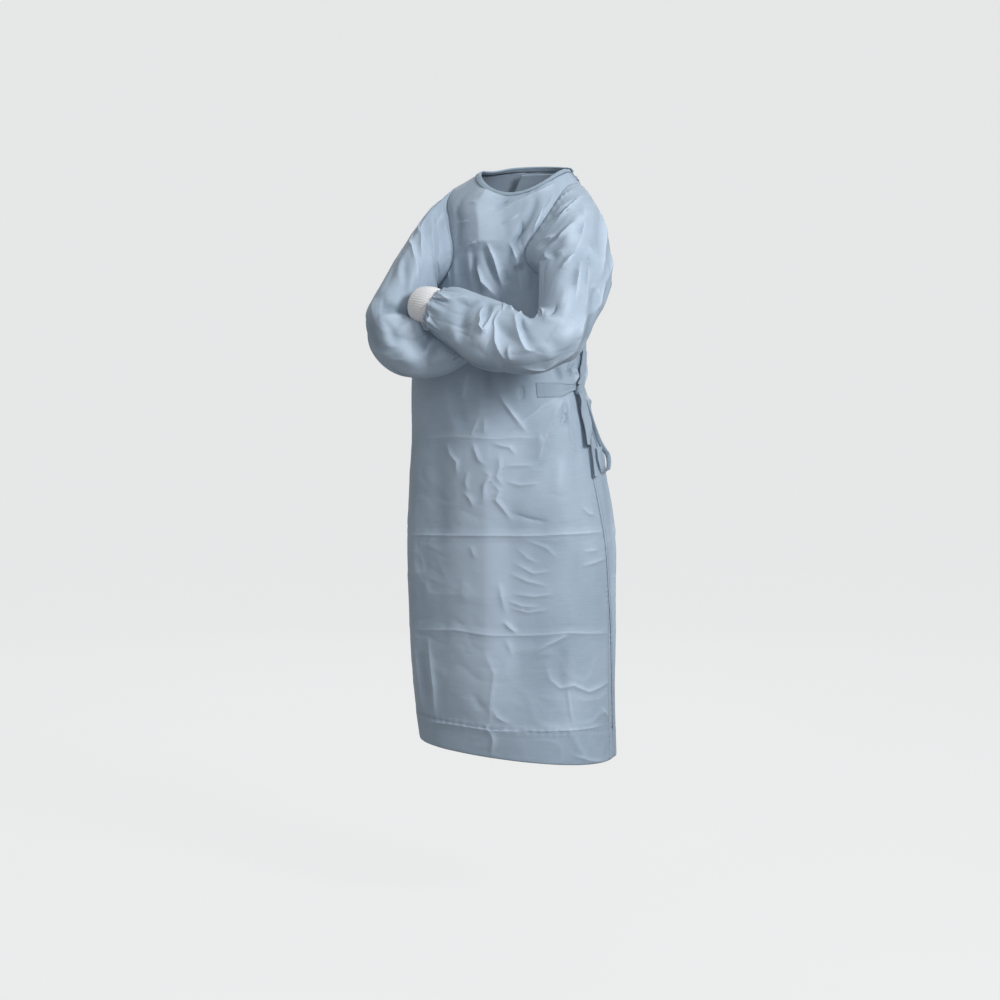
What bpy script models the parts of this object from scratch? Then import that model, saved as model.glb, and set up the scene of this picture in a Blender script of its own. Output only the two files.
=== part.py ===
"""Surgical gown, worn with the arms crossed, as the solids of its cut pieces.

Units are metres and +Z is up.  The gown faces -Y and the wearer's left is +X.  The origin is
at the base of the neck, where the wearer's shoulders carry the gown.  Every piece is a wall of
cloth, lofted between rings worked out from the tables below, and neighbours stop 0.3 mm apart.
"""
import math

import bmesh
import bpy
import numpy as np

# ---------------------------------------------------------------- driving sizes
CLOTH = 0.002                 # wall of the gown's cloth
CUFF_WALL = 0.0024            # wall of the knitted cuffs
BINDING_WALL = 0.003          # folded strip round the neck
TAPE = 0.0012                 # wall of the ties
SEAM_GAP = 0.0003             # space between neighbouring pieces
MITRE_BIAS = 1.6              # how far the armhole's cut edge leans towards the body's normal
FLAP_LIFT = 0.0045            # how far the outer back flap stands over the inner one
HEM_LEVEL = -1.190
ARMPIT_LEVEL = -0.245
SHOULDER_LEVEL = -0.022
YOKE_LEVEL = -0.010           # where the row from the shoulder point crosses the middle
NECK_LEVEL = 0.020
BINDING_LEVEL = 0.009         # lower edge of the neck binding
BINDING_PROUD = 0.0005        # how far it stands over the cloth
BINDING_STOPS_SHORT = math.radians(4)     # gap between its two ends at the closure
WAIST_LEVEL = -0.442          # height of the ties
TIE_WIDTH = 0.026             # width of the tie sewn on the front
FRONT_COLUMNS, FLAP_COLUMNS, UNDER_COLUMNS = 26, 26, 14
SKIRT_ROWS, WAIST_ROWS, ARMHOLE_ROWS, YOKE_ROWS = 13, 5, 12, 2
BELOW_ARMHOLE = SKIRT_ROWS + 1 + WAIST_ROWS
SLEEVE_COLUMNS = 2 * ARMHOLE_ROWS         # so sleeve and panels share the armhole's points
CAP_ROWS, TUBE_ROWS = 7, 19
ROUNDNESS = 0.10              # how much the rings bulge between front and side

# Rings of the body.  half: half width, front and back: depth from the ring's middle, mid: x of
# the middle, tilt: how much lower the wearer's left side hangs than the right, halved.  The
# three heights are where a ring runs over the front, over the sides and over the back.
RING_COLUMNS = ("level", "half", "front", "back", "mid", "tilt", "z_front", "z_side", "z_back")
BODY_RINGS = (
    (-1.190, 0.207, 0.140, 0.140, 0.010, 0.016, -1.190, -1.188, -1.188),
    (-1.080, 0.213, 0.140, 0.140, 0.002, 0.012, -1.080, -1.080, -1.080),
    (-0.880, 0.218, 0.138, 0.138, -0.005, 0.005, -0.880, -0.880, -0.880),
    (-0.740, 0.218, 0.136, 0.136, -0.008, 0.0, -0.740, -0.740, -0.740),
    (-0.640, 0.210, 0.134, 0.132, -0.012, 0.0, -0.640, -0.640, -0.640),
    (-0.545, 0.198, 0.130, 0.128, -0.018, 0.0, -0.545, -0.545, -0.545),
    (-0.430, 0.182, 0.122, 0.120, -0.033, 0.0, -0.430, -0.430, -0.430),
    (-0.370, 0.182, 0.114, 0.122, -0.031, 0.0, -0.370, -0.370, -0.370),
    (-0.300, 0.172, 0.110, 0.128, -0.020, 0.0, -0.300, -0.300, -0.300),
    (-0.235, 0.155, 0.112, 0.130, -0.001, 0.0, -0.235, -0.235, -0.235),
    (-0.160, 0.153, 0.116, 0.130, 0.006, 0.0, -0.168, -0.150, -0.158),
    (-0.090, 0.150, 0.112, 0.122, 0.010, 0.0, -0.122, -0.080, -0.100),
    (-0.030, 0.136, 0.100, 0.106, 0.012, 0.0, -0.084, -0.032, -0.045),
    (-0.005, 0.110, 0.090, 0.092, 0.021, 0.0, -0.062, -0.013, -0.012),
    (0.020, 0.089, 0.080, 0.080, 0.029, 0.0, -0.046, 0.003, 0.013),
)

# Armholes: ovals in the sheet of angle and level, centred on the side seam, which comes
# forward from 90 degrees at the underarm.
UNDERARM_FORWARD = math.radians(24)
ARMHOLE_FRONT = {"left": math.radians(52), "right": math.radians(39)}
ARMHOLE_BACK = math.radians(50)
ARMHOLE_SQUARE_TOP = 0.5      # 0 for a round top, 1 for a square one
ARMHOLE_POINT = 0.5           # 0 for a round underarm, 1 for a pointed one
ARMHOLE_CROWDING = 0.25       # how much closer its points stand at the underarm and on top

# Largest folds of the body: straight creases in the sheet of angle (degrees) and level.
# Depth is positive for a ridge, negative for a trough; width is the crease's half width.
FOLD_COLUMNS = ("angle_0", "level_0", "angle_1", "level_1", "width", "depth")
BODY_FOLDS = (
    (-14, -0.07, -12, -1.16, 0.010, 0.0022),      # pressed line down the front
    (42, -0.50, 18, -0.74, 0.020, 0.0050),        # from the ties across the skirt
    (66, -0.50, 44, -0.90, 0.020, -0.0045),
    (-48, -0.52, -52, -1.12, 0.024, 0.0050),
    (-30, -0.46, -26, -0.80, 0.020, -0.0035),
    (10, -0.62, 18, -1.14, 0.024, -0.0040),
    (30, -0.08, -22, -0.22, 0.020, 0.0040),       # across the chest from the left shoulder
    (24, -0.16, 8, -0.30, 0.018, -0.0040),
    (-10, -0.15, 0, -0.32, 0.018, 0.0055),        # bunched over the crossed arms
    (128, -0.50, 134, -1.12, 0.026, 0.0055),      # hanging folds of the back
    (158, -0.46, 168, -1.10, 0.026, -0.0050),
    (196, -0.36, 190, -1.12, 0.026, 0.0055),
    (226, -0.42, 236, -1.12, 0.026, -0.0045),
    (150, -0.24, 186, -0.42, 0.024, 0.0045),
    (212, -0.18, 196, -0.40, 0.024, -0.0040),
)

# Free edges of the two back panels: angle in degrees at each level.
FLAP_EDGE = ((-1.190, 100), (-0.900, 92), (-0.740, 82), (-0.620, 76), (-0.500, 78), (-0.442, 82),
             (-0.380, 88), (-0.330, 98), (-0.285, 125), (-0.250, 142), (-0.200, 148), (-0.090, 147),
             (-0.050, 140), (-0.020, 124), (0.020, 108))
UNDER_EDGE_ANGLE = math.radians(200)
UNDER_TUCK, UNDER_TUCK_RUN = 0.006, math.radians(14)   # the inner flap lies flat and deeper
FLAP_FLUSH_ANGLE = math.radians(246)     # from here to the right side seam the flap lies flush
FLAP_LIFTED_ANGLE = math.radians(206)
FLUSH_BEFORE_SEAM = math.radians(3)

# Sleeves.  route: middle of the first full ring, the elbow's corner, the forearm and the cuff
# seam, with corners rounded by radii.  side_upper and side_wrist: direction of a ring's deep
# half at either end of the sleeve.  top_turn: degrees from a ring's outer side to its top line.
SLEEVES = {
    "left": {
        "hand": 1,
        "route": ((0.184, -0.137, -0.217), (0.197, -0.252, -0.366), (0.060, -0.250, -0.338),
                  (-0.068, -0.236, -0.277)),
        "radii": (0.062, 0.150),
        "side_upper": (0.305, -0.750, 0.587), "side_wrist": (0.05, -0.97, 0.24),
        "top_turn": 45, "cuff_end": (-0.114, -0.220, -0.270),
    },
    "right": {
        "hand": -1,
        "route": ((-0.162, -0.134, -0.212), (-0.192, -0.262, -0.372), (-0.085, -0.200, -0.366),
                  (0.002, -0.158, -0.318)),
        "radii": (0.058, 0.100),
        "side_upper": (-0.04, -0.796, 0.604), "side_wrist": (-0.05, -0.97, 0.24),
        "top_turn": 45, "cuff_end": (0.042, -0.150, -0.296),
    },
}
# Rings of each sleeve along its route, 0 at the first full ring and 1 at the cuff seam:
# outer is half the ring on the elbow's side, crook half of it on the bend's inner side, and
# deep half of it the other way.
RING_COLUMNS_OF_SLEEVE = ("along", "outer", "crook", "deep")
SLEEVE_RINGS = {
    "left": (
        (0.00, 0.070, 0.070, 0.060),
        (0.12, 0.063, 0.060, 0.058),
        (0.25, 0.056, 0.053, 0.057),
        (0.38, 0.055, 0.051, 0.055),
        (0.50, 0.060, 0.053, 0.053),
        (0.58, 0.067, 0.060, 0.052),
        (0.67, 0.073, 0.071, 0.050),
        (0.82, 0.064, 0.064, 0.040),
        (0.92, 0.052, 0.052, 0.035),
        (1.00, 0.033, 0.033, 0.030),
    ),
    "right": (
        (0.00, 0.041, 0.046, 0.058),
        (0.20, 0.045, 0.047, 0.057),
        (0.29, 0.049, 0.046, 0.056),
        (0.45, 0.050, 0.045, 0.050),
        (0.56, 0.053, 0.046, 0.044),
        (0.65, 0.056, 0.048, 0.038),
        (0.82, 0.048, 0.048, 0.031),
        (0.93, 0.040, 0.040, 0.029),
        (1.00, 0.031, 0.031, 0.027),
    ),
}
CAP_LIFT_TOP, CAP_LIFT_UNDER = 0.35, 1.0      # how steeply the cap leaves the body
CAP_AHEAD = 1.0                               # how early it takes the arm's direction
# Largest folds of the sleeves: creases in the sheet of turn (degrees round the ring, 0 on top
# of the shoulder, 90 on the front, 180 at the underarm) and the same along value.
SLEEVE_FOLD_COLUMNS = ("turn_0", "along_0", "turn_1", "along_1", "width", "depth")
SLEEVE_FOLDS = {
    "left": (
        (60, 0.45, 115, 0.69, 0.014, 0.0060),         # from the crook across the forearm
        (10, 0.47, 80, 0.76, 0.014, -0.0060),
        (95, 0.67, 30, 0.78, 0.013, 0.0060),
        (70, 0.85, 10, 0.74, 0.013, -0.0050),
        (300, -0.10, 325, 0.24, 0.018, 0.0080),       # loose cloth behind the upper arm
        (255, -0.05, 275, 0.25, 0.015, -0.0050),
        (40, -0.05, 75, 0.20, 0.015, 0.0050),
    ),
    "right": (
        (80, 0.37, 20, 0.29, 0.014, -0.0050),         # from the crook over the elbow
        (80, 0.00, 95, 0.24, 0.014, 0.0050),
        (30, 0.45, 70, 0.71, 0.015, -0.0050),
        (350, 0.47, 50, 0.84, 0.016, 0.0060),
        (250, -0.08, 280, 0.27, 0.016, 0.0055),
        (20, -0.08, 40, 0.23, 0.014, -0.0045),
    ),
}
SLEEVE_GIRTH = 0.36           # turns a turn into a distance for the folds
GATHERS, GATHER_DEPTH = 9, 0.0022                         # little pleats into the cuff seam
GATHER_START, GATHER_FULL = 0.86, 0.96

CUFF_COLUMNS, CUFF_ROWS = 24, 3
CUFF_SHARE, CUFF_SWELL = 0.97, 0.06       # size against the sleeve's end, swell at its middle

# Ties: tape laid over the body.  Each has a name, a route whose rows are angle in degrees,
# level and lift over the body, then its width, the number of its points and its twist.
KNOT_ANGLE, KNOT_DROP, KNOT_LIFT = math.radians(78.5), 0.005, 0.0105
KNOT_SIZE, KNOT_PINCH, KNOT_WAIST, KNOT_TILT = (0.0065, 0.0075, 0.0095), 0.25, 0.3, math.radians(12)
FRONT_TIE_START, FRONT_TIE_END = math.radians(40), math.radians(75)
TIE_GAP = 0.0006              # space between a sewn-on tie and the cloth under it
FRONT_TIE_RISE = 0.004        # how far its end at the knot stands off the front
TIES = (
    ("tie_flap", ((90, -0.345, 0.0066), (88, -0.385, 0.0068), (84, -0.415, 0.0085),
                  (80, -0.4345, 0.0115)), 0.011, 10, 0.0),
    ("tie_tail_long", ((79.5, -0.459, 0.0110), (78, -0.490, 0.0120), (76, -0.530, 0.0110),
                       (75, -0.560, 0.0120)), 0.019, 10, 0.0),
    ("tie_tail_short", ((84.5, -0.462, 0.0130), (83, -0.510, 0.0160), (82, -0.560, 0.0150),
                        (80, -0.620, 0.0130)), 0.014, 12, 0.0),
    ("tie_loop", ((88.0, -0.470, 0.0150), (89.5, -0.520, 0.0170), (92.0, -0.565, 0.0190),
                  (95.5, -0.595, 0.0200), (95.0, -0.617, 0.0200), (91.0, -0.612, 0.0200),
                  (88.5, -0.585, 0.0190)), 0.010, 22, 1.35),
    ("neck_tab", ((106, -0.006, 0.0068), (112, -0.009, 0.0068), (119, -0.012, 0.0068)),
     0.014, 5, 0.0),
)

COLOURS = {                    # base colour, roughness
    "cloth": ((0.30, 0.39, 0.49, 1.0), 0.72),
    "knit": ((0.86, 0.87, 0.88, 1.0), 0.85),
    "binding": ((0.27, 0.36, 0.46, 1.0), 0.72),
    "tape": ((0.34, 0.43, 0.53, 1.0), 0.70),
}


# ---------------------------------------------------------------- small tools
def smooth(xs, ys, x):
    """Cubic through a table's rows, with each row's slope taken from its two neighbours."""
    xs, ys = np.asarray(xs, float), np.asarray(ys, float)
    slopes = np.gradient(ys, xs)
    x = np.clip(x, xs[0], xs[-1])
    i = np.clip(np.searchsorted(xs, x, side="right") - 1, 0, len(xs) - 2)
    span = xs[i + 1] - xs[i]
    t = (x - xs[i]) / span
    return ((1 + 2 * t) * (1 - t) ** 2 * ys[i] + t * (1 - t) ** 2 * span * slopes[i]
            + t * t * (3 - 2 * t) * ys[i + 1] + t * t * (t - 1) * span * slopes[i + 1])


def step(low, high, x):
    """Smooth step, 0 at low and 1 at high."""
    t = np.clip((x - low) / (high - low), 0.0, 1.0)
    return t * t * (3 - 2 * t)


def unit(v):
    return v / np.maximum(np.linalg.norm(v, axis=-1, keepdims=True), 1e-12)


def crease(x, y, x0, y0, x1, y1, width, depth):
    """Height of a soft crease from (x0, y0) to (x1, y1): a bell across it, fading at its ends."""
    dx, dy = x1 - x0, y1 - y0
    length = math.hypot(dx, dy)
    along = ((x - x0) * dx + (y - y0) * dy) / length
    across = ((x - x0) * dy - (y - y0) * dx) / length
    ends = step(-width, 0.3 * length, along) * step(-width, 0.3 * length, length - along)
    return depth * np.exp(-(across / width) ** 2) * ends


def normals_of(surface, u, v, du=1e-3, dv=1e-3):
    """Unit normals of a surface function, from differences each way."""
    along_u = surface(u + du, v) - surface(u - du, v)
    along_v = surface(u, v + dv) - surface(u, v - dv)
    return unit(np.cross(along_u, along_v))


# ---------------------------------------------------------------- body surface
RING = {name: np.array([row[i] for row in BODY_RINGS]) for i, name in enumerate(RING_COLUMNS)}
MEAN_RADIUS = 0.17            # turns an angle into a distance for the folds
FRONT_FOLDS_BELOW, WRAP_ANGLE = math.radians(60), math.radians(300)   # where angles wrap round


def body_base(angle, level):
    """Point of the plain body: angle 0 in front, 90 degrees at the wearer's left side."""
    at = {name: smooth(RING["level"], RING[name], level) for name in RING_COLUMNS[1:]}
    s, c = np.sin(angle), np.cos(angle)
    depth = np.where(c > 0, at["front"], at["back"])
    end_height = np.where(c > 0, at["z_front"], at["z_back"])
    x = at["mid"] + at["half"] * s * (1 + ROUNDNESS * c * c)
    y = -depth * c * (1 + ROUNDNESS * s * s)
    z = at["z_side"] + (end_height - at["z_side"]) * c * c - at["tilt"] * s
    return np.stack(np.broadcast_arrays(x, y, z), axis=-1)


def body_folds(angle, level):
    """Height of the largest folds over the plain body."""
    total = np.zeros(np.broadcast(angle, level).shape)
    turned = np.mod(angle, 2 * math.pi)
    for row in BODY_FOLDS:
        fold = dict(zip(FOLD_COLUMNS, row))
        ends = math.radians(fold["angle_0"]), math.radians(fold["angle_1"])
        in_front = min(ends) < FRONT_FOLDS_BELOW
        near = np.where(in_front & (turned > WRAP_ANGLE), turned - 2 * math.pi, turned)
        total = total + crease(near * MEAN_RADIUS, level, ends[0] * MEAN_RADIUS, fold["level_0"],
                               ends[1] * MEAN_RADIUS, fold["level_1"], fold["width"], fold["depth"])
    return total


def body(angle, level):
    """Outer face of the body's cloth, folds included."""
    out = normals_of(body_base, angle, level)
    return body_base(angle, level) + out * body_folds(angle, level)[..., None]


def body_normal(angle, level):
    return normals_of(body, angle, level)


def side_angle(level):
    """Angle of the side seam, the middle of the armhole and the shoulder seam."""
    forward = step(WAIST_LEVEL, ARMPIT_LEVEL, level) * (1 - step(ARMPIT_LEVEL, SHOULDER_LEVEL, level))
    return math.pi / 2 - UNDERARM_FORWARD * forward


def armhole_edge(turn, width):
    """Angle from the side seam and level of an armhole's edge: turn 0 at the underarm, pi on top."""
    middle, half = (ARMPIT_LEVEL + SHOULDER_LEVEL) / 2, (SHOULDER_LEVEL - ARMPIT_LEVEL) / 2
    turn = turn - ARMHOLE_CROWDING * np.sin(2 * turn) / 2
    height = (1 - np.cos(turn)) / 2
    swing = width * np.maximum(np.sin(turn), 0) ** (1 - ARMHOLE_SQUARE_TOP * height)
    point = ARMHOLE_POINT * (1 - height)
    return swing, middle - half * ((1 - point) * np.cos(turn) + point * (1 - 2 * turn / math.pi))


def body_rows(top_level):
    """Rows of a body panel from hem to neck: level away from the armhole, level at its edge,
    and the turn round it (0 for every row that doesn't meet the armhole)."""
    band = WAIST_LEVEL - TIE_WIDTH / 2, WAIST_LEVEL + TIE_WIDTH / 2
    skirt = np.concatenate([np.linspace(HEM_LEVEL, band[0], SKIRT_ROWS + 1),
                            np.linspace(band[1], ARMPIT_LEVEL, WAIST_ROWS + 1)])
    turns = np.linspace(0, math.pi, ARMHOLE_ROWS + 1)[1:]
    beside = np.linspace(ARMPIT_LEVEL, YOKE_LEVEL, ARMHOLE_ROWS + 1)[1:]
    yoke = np.linspace(SHOULDER_LEVEL, top_level, YOKE_ROWS + 1)[1:]
    far = np.concatenate([skirt, beside, np.linspace(YOKE_LEVEL, top_level, YOKE_ROWS + 1)[1:]])
    near = np.concatenate([skirt, armhole_edge(turns, 0.0)[1], yoke])
    return far, near, np.concatenate([0 * skirt, turns, 0 * yoke])


# ---------------------------------------------------------------- walls into objects
def make_material(name):
    colour, roughness = COLOURS[name]
    material = bpy.data.materials.get(name) or bpy.data.materials.new(name)
    material.use_nodes = True
    shader = material.node_tree.nodes["Principled BSDF"]
    shader.inputs["Base Color"].default_value = colour
    shader.inputs["Roughness"].default_value = roughness
    shader.inputs["Metallic"].default_value = 0.0
    return material


def add_wall(name, outer, inner, material, closed=False):
    """Solid between two grids of points: rows run along the cloth, columns across it, and a
    closed wall joins its last column to its first."""
    rows, columns = outer.shape[:2]
    mesh = bmesh.new()
    layers = [[[mesh.verts.new(p) for p in row] for row in grid] for grid in (outer, inner)]
    spans = range(columns if closed else columns - 1)
    for layer in layers:
        for r in range(rows - 1):
            for c in spans:
                d = (c + 1) % columns
                mesh.faces.new((layer[r][c], layer[r][d], layer[r + 1][d], layer[r + 1][c]))
    front, back = layers
    for r in (0, rows - 1):
        for c in spans:
            d = (c + 1) % columns
            mesh.faces.new((front[r][c], front[r][d], back[r][d], back[r][c]))
    if not closed:
        for c in (0, columns - 1):
            for r in range(rows - 1):
                mesh.faces.new((front[r][c], front[r + 1][c], back[r + 1][c], back[r][c]))
    bmesh.ops.recalc_face_normals(mesh, faces=mesh.faces)
    bmesh.ops.triangulate(mesh, faces=mesh.faces, quad_method="SHORT_EDGE")
    data = bpy.data.meshes.new(name)
    mesh.to_mesh(data)
    mesh.free()
    data.shade_smooth()
    data.set_sharp_from_angle(angle=math.radians(50))
    data.materials.append(make_material(material))
    thing = bpy.data.objects.new(name, data)
    COLLECTION.objects.link(thing)
    return thing


# ---------------------------------------------------------------- sleeves
def rounded_route(points, radii, count=400):
    """Points along straight runs joined by arcs of the given radii."""
    points = [np.array(p) for p in points]
    pieces, start = [], points[0]
    for before, corner, after, radius in zip(points, points[1:], points[2:], radii):
        into, away = unit(corner - before), unit(after - corner)
        turn = math.acos(float(np.clip(into @ away, -1, 1)))
        reach = radius * math.tan(turn / 2)
        first = corner - into * reach
        inward = unit(away - into)
        centre = corner + inward * (radius / math.cos(turn / 2))
        pieces.append(np.linspace(start, first, 60)[:-1])
        arm_0 = unit(first - centre)
        t = np.linspace(0, turn, 60)[:, None]
        pieces.append((centre + radius * (arm_0 * np.cos(t) + into * np.sin(t)))[:-1])
        start = corner + away * reach
    pieces.append(np.linspace(start, points[-1], 60))
    line = np.concatenate(pieces)
    lengths = np.concatenate([[0], np.cumsum(np.linalg.norm(np.diff(line, axis=0), axis=1))])
    even = np.linspace(0, lengths[-1], count)
    return np.stack([np.interp(even, lengths, line[:, k]) for k in range(3)], axis=1), lengths[-1]


class Sleeve:
    """Outer face of a sleeve as a function of turn (0..1 round the arm) and along, which runs
    from -1 at the armhole over 0 at the first full ring to 1 at the cuff seam."""

    def __init__(self, side):
        self.side, spec = side, SLEEVES[side]
        self.spec, self.hand = spec, spec["hand"]
        self.line, self.length = rounded_route(spec["route"], spec["radii"])
        self.tangents = unit(np.gradient(self.line, axis=0))
        self.rings = dict(zip(RING_COLUMNS_OF_SLEEVE, np.array(SLEEVE_RINGS[side]).T))

    def frame(self, along):
        """Middle, direction and the ring's tall and deep axes at an along value."""
        place = np.clip(along, 0, 1) * (len(self.line) - 1)
        index = np.arange(len(self.line))
        middle = np.stack([np.interp(place, index, self.line[:, k]) for k in range(3)], axis=-1)
        ahead = unit(np.stack([np.interp(place, index, self.tangents[:, k]) for k in range(3)], -1))
        blend = step(0.40, 1.0, along)[..., None]
        deep = (1 - blend) * unit(np.array(self.spec["side_upper"])) \
            + blend * unit(np.array(self.spec["side_wrist"]))
        deep = unit(deep - ahead * np.sum(deep * ahead, axis=-1, keepdims=True))
        tall = self.hand * np.cross(deep, ahead)
        return middle, ahead, tall, deep

    def ring(self, turn, along):
        """Point of the tube, folds included."""
        middle, ahead, tall, deep = self.frame(along)
        size = {name: smooth(self.rings["along"], self.rings[name], along)
                for name in RING_COLUMNS_OF_SLEEVE[1:]}
        angle = math.radians(self.spec["top_turn"]) + 2 * math.pi * turn
        cos, sin = np.cos(angle), np.sin(angle)
        a, b = np.where(cos > 0, size["outer"], size["crook"]), size["deep"]
        rise = self.folds(turn, along)
        out = unit(tall * (cos / a)[..., None] + deep * (sin / b)[..., None])
        return middle + tall * (a * cos)[..., None] + deep * (b * sin)[..., None] \
            + out * rise[..., None]

    def folds(self, turn, along):
        """Height of the largest folds, and of the pleats at the cuff seam."""
        rise = np.zeros(np.broadcast(turn, along).shape)
        degrees = np.mod(turn, 1.0) * 360
        for row in SLEEVE_FOLDS[self.side]:
            fold = dict(zip(SLEEVE_FOLD_COLUMNS, row))
            here, first, last = degrees, fold["turn_0"], fold["turn_1"]
            if abs(first - last) > 180:
                first = first - 360
                here = np.where(degrees > 180, degrees - 360, degrees)
            rise = rise + crease(here / 360 * SLEEVE_GIRTH, along * self.length,
                                 first / 360 * SLEEVE_GIRTH, fold["along_0"] * self.length,
                                 last / 360 * SLEEVE_GIRTH, fold["along_1"] * self.length,
                                 fold["width"], fold["depth"])
        pleat = GATHER_DEPTH * np.cos(2 * math.pi * GATHERS * turn)
        return rise + pleat * step(GATHER_START, GATHER_FULL, along)

    def armhole(self, turn):
        """Point and outward normal of the body where the sleeve is sewn on."""
        front = turn <= 0.5
        round_edge = np.where(front, math.pi * (1 - 2 * turn), math.pi * (2 * turn - 1))
        width = np.where(front, -ARMHOLE_FRONT[self.side], ARMHOLE_BACK)
        sideways, level = armhole_edge(np.clip(round_edge, 1e-6, math.pi - 1e-6), width)
        angle = self.hand * (side_angle(level) + sideways)
        return body(angle, level), body_normal(angle, level)

    def surface(self, turn, along):
        """The cap blends from the armhole to the first ring, and the tube follows."""
        turn, along = np.broadcast_arrays(np.asarray(turn, float), np.asarray(along, float))
        t = np.clip(along + 1, 0, 1)[..., None]
        start, body_out = self.armhole(np.mod(turn, 1.0))
        zero = np.zeros_like(along)
        end = self.ring(turn, zero)
        _, ahead, _, _ = self.frame(zero)
        chord = np.linalg.norm(end - start, axis=-1, keepdims=True)
        under = (0.5 - 0.5 * np.cos(2 * math.pi * turn))[..., None]
        lift = CAP_LIFT_TOP + (CAP_LIFT_UNDER - CAP_LIFT_TOP) * under
        pull_0 = chord * unit((end - start) / chord + lift * body_out)
        pull_1 = chord * unit((end - start) / chord + CAP_AHEAD * ahead)
        cap = (1 + 2 * t) * (1 - t) ** 2 * start + t * (1 - t) ** 2 * pull_0 \
            + t * t * (3 - 2 * t) * end + t * t * (t - 1) * pull_1
        return np.where((along < 0)[..., None], cap, self.ring(turn, along))


def sleeve_walls(side):
    """Outer and inner grids of a sleeve, mitred where it meets the body."""
    sleeve = Sleeve(side)
    turn = np.arange(SLEEVE_COLUMNS) / SLEEVE_COLUMNS
    alongs = np.concatenate([np.linspace(-1, 0, CAP_ROWS + 1)[:-1],
                             np.linspace(0, 1, TUBE_ROWS + 1)])
    turns, alongs = np.meshgrid(turn, alongs)
    outer = sleeve.surface(turns, alongs)
    ahead_u = sleeve.surface(turns + 2e-3, alongs) - sleeve.surface(turns - 2e-3, alongs)
    low, high = np.maximum(alongs - 4e-3, -1), np.minimum(alongs + 4e-3, 1)
    ahead_v = sleeve.surface(turns, high) - sleeve.surface(turns, low)
    out = unit(np.cross(ahead_u, ahead_v)) * sleeve.hand
    inner = outer - CLOTH * out
    _, body_out = sleeve.armhole(turn)
    mitre = unit(MITRE_BIAS * body_out + out[0])
    reach = CLOTH / np.clip(np.sum(mitre * body_out, axis=-1), 0.6, 1.0)
    mitre = mitre * reach[:, None]
    seam = unit(np.roll(outer[0], -1, axis=0) - np.roll(outer[0], 1, axis=0))
    off = unit(np.cross(seam, mitre))
    off = off * np.sign(np.sum(off * ahead_v[0], axis=-1, keepdims=True))
    outer[0] = outer[0] + SEAM_GAP * off
    inner[0] = outer[0] - mitre
    # the mitres again from underarm to shoulder, on the front and on the back
    front = mitre[:ARMHOLE_ROWS + 1][::-1]
    back = np.roll(mitre, -ARMHOLE_ROWS, axis=0)[:ARMHOLE_ROWS + 1]
    return sleeve, outer, inner, (front, back)


# ---------------------------------------------------------------- cut pieces
def panel(name, rows, edges, draws, columns, lift=None, seams=(None, None)):
    """Wall between two edges.  edges: angles of the first and last column on each row, draws:
    how far the armhole draws each edge in, seams: the armhole's mitres at either edge."""
    far, near, turns = rows
    share = np.linspace(0, 1, columns + 1)[None, :]
    reach = 2 if draws[0].any() and draws[1].any() else 1
    pull_0 = np.clip(1 - reach * share, 0, 1)
    pull_1 = np.clip(1 - reach * (1 - share), 0, 1)
    angles = edges[0][:, None] * (1 - share) + edges[1][:, None] * share \
        + draws[0][:, None] * pull_0 - draws[1][:, None] * pull_1
    close = np.maximum(pull_0 * draws[0].any(), pull_1 * draws[1].any()) ** 2.5
    levels = far[:, None] + (near - far)[:, None] * close
    out = body_normal(angles, levels)
    raised = 0.0 if lift is None else lift(angles, levels, (edges[1] - draws[1])[:, None])
    outer = body(angles, levels) + out * np.expand_dims(raised, -1)
    inner = outer - CLOTH * out
    for column, seam in zip((0, columns), seams):
        if seam is None:
            continue
        meets = slice(BELOW_ARMHOLE, BELOW_ARMHOLE + ARMHOLE_ROWS + 1)
        inner[meets, column] = outer[meets, column] - seam
    add_wall(name, outer, inner, "cloth")
    return angles, outer, out


def armhole_draw(rows, width):
    """How far each row's edge is drawn in from the side seam by the armhole."""
    return armhole_edge(rows[2], width)[0] * (rows[2] > 0)


def make_body(mitres):
    """Front, inner back flap and outer back flap, each as angles, points and normals."""
    rows = body_rows(BINDING_LEVEL - SEAM_GAP)
    side, none = side_angle(rows[1]), np.zeros_like(rows[0])
    half_gap = SEAM_GAP / 2 / RING["half"].min()
    front_right, front_left = (armhole_draw(rows, ARMHOLE_FRONT[k]) for k in ("right", "left"))
    back = armhole_draw(rows, ARMHOLE_BACK)
    edge = flap_edge(rows[0])
    pieces = [panel("front_panel", rows, (half_gap - side, side - half_gap),
                    (front_right, front_left), FRONT_COLUMNS,
                    seams=(mitres["right"][0], mitres["left"][0]))]
    pieces.append(panel("back_left_panel", rows, (side + half_gap, none + UNDER_EDGE_ANGLE),
                        (back, none), UNDER_COLUMNS, under_sink, seams=(mitres["left"][1], None)))
    pieces.append(panel("back_right_panel", rows, (edge, 2 * math.pi - side - half_gap),
                        (none, back), FLAP_COLUMNS, flap_lift, seams=(None, mitres["right"][1])))
    return pieces


def flap_edge(levels):
    """Angle of the outer flap's free edge."""
    return np.radians(smooth([row[0] for row in FLAP_EDGE], [row[1] for row in FLAP_EDGE], levels))


def under_sink(angles, levels, side):
    """The inner flap under the outer one: its folds are taken out and it lies deeper."""
    covered = step(0.0, UNDER_TUCK_RUN, angles - flap_edge(levels))
    return -covered * (UNDER_TUCK + body_folds(angles, levels))


def flap_lift(angles, levels, side):
    """Height of the outer flap over the inner one: none near its own side seam and armhole."""
    flush = np.minimum(FLAP_FLUSH_ANGLE, side - FLUSH_BEFORE_SEAM)
    return FLAP_LIFT * (1 - step(FLAP_LIFTED_ANGLE, flush, angles))


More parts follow.
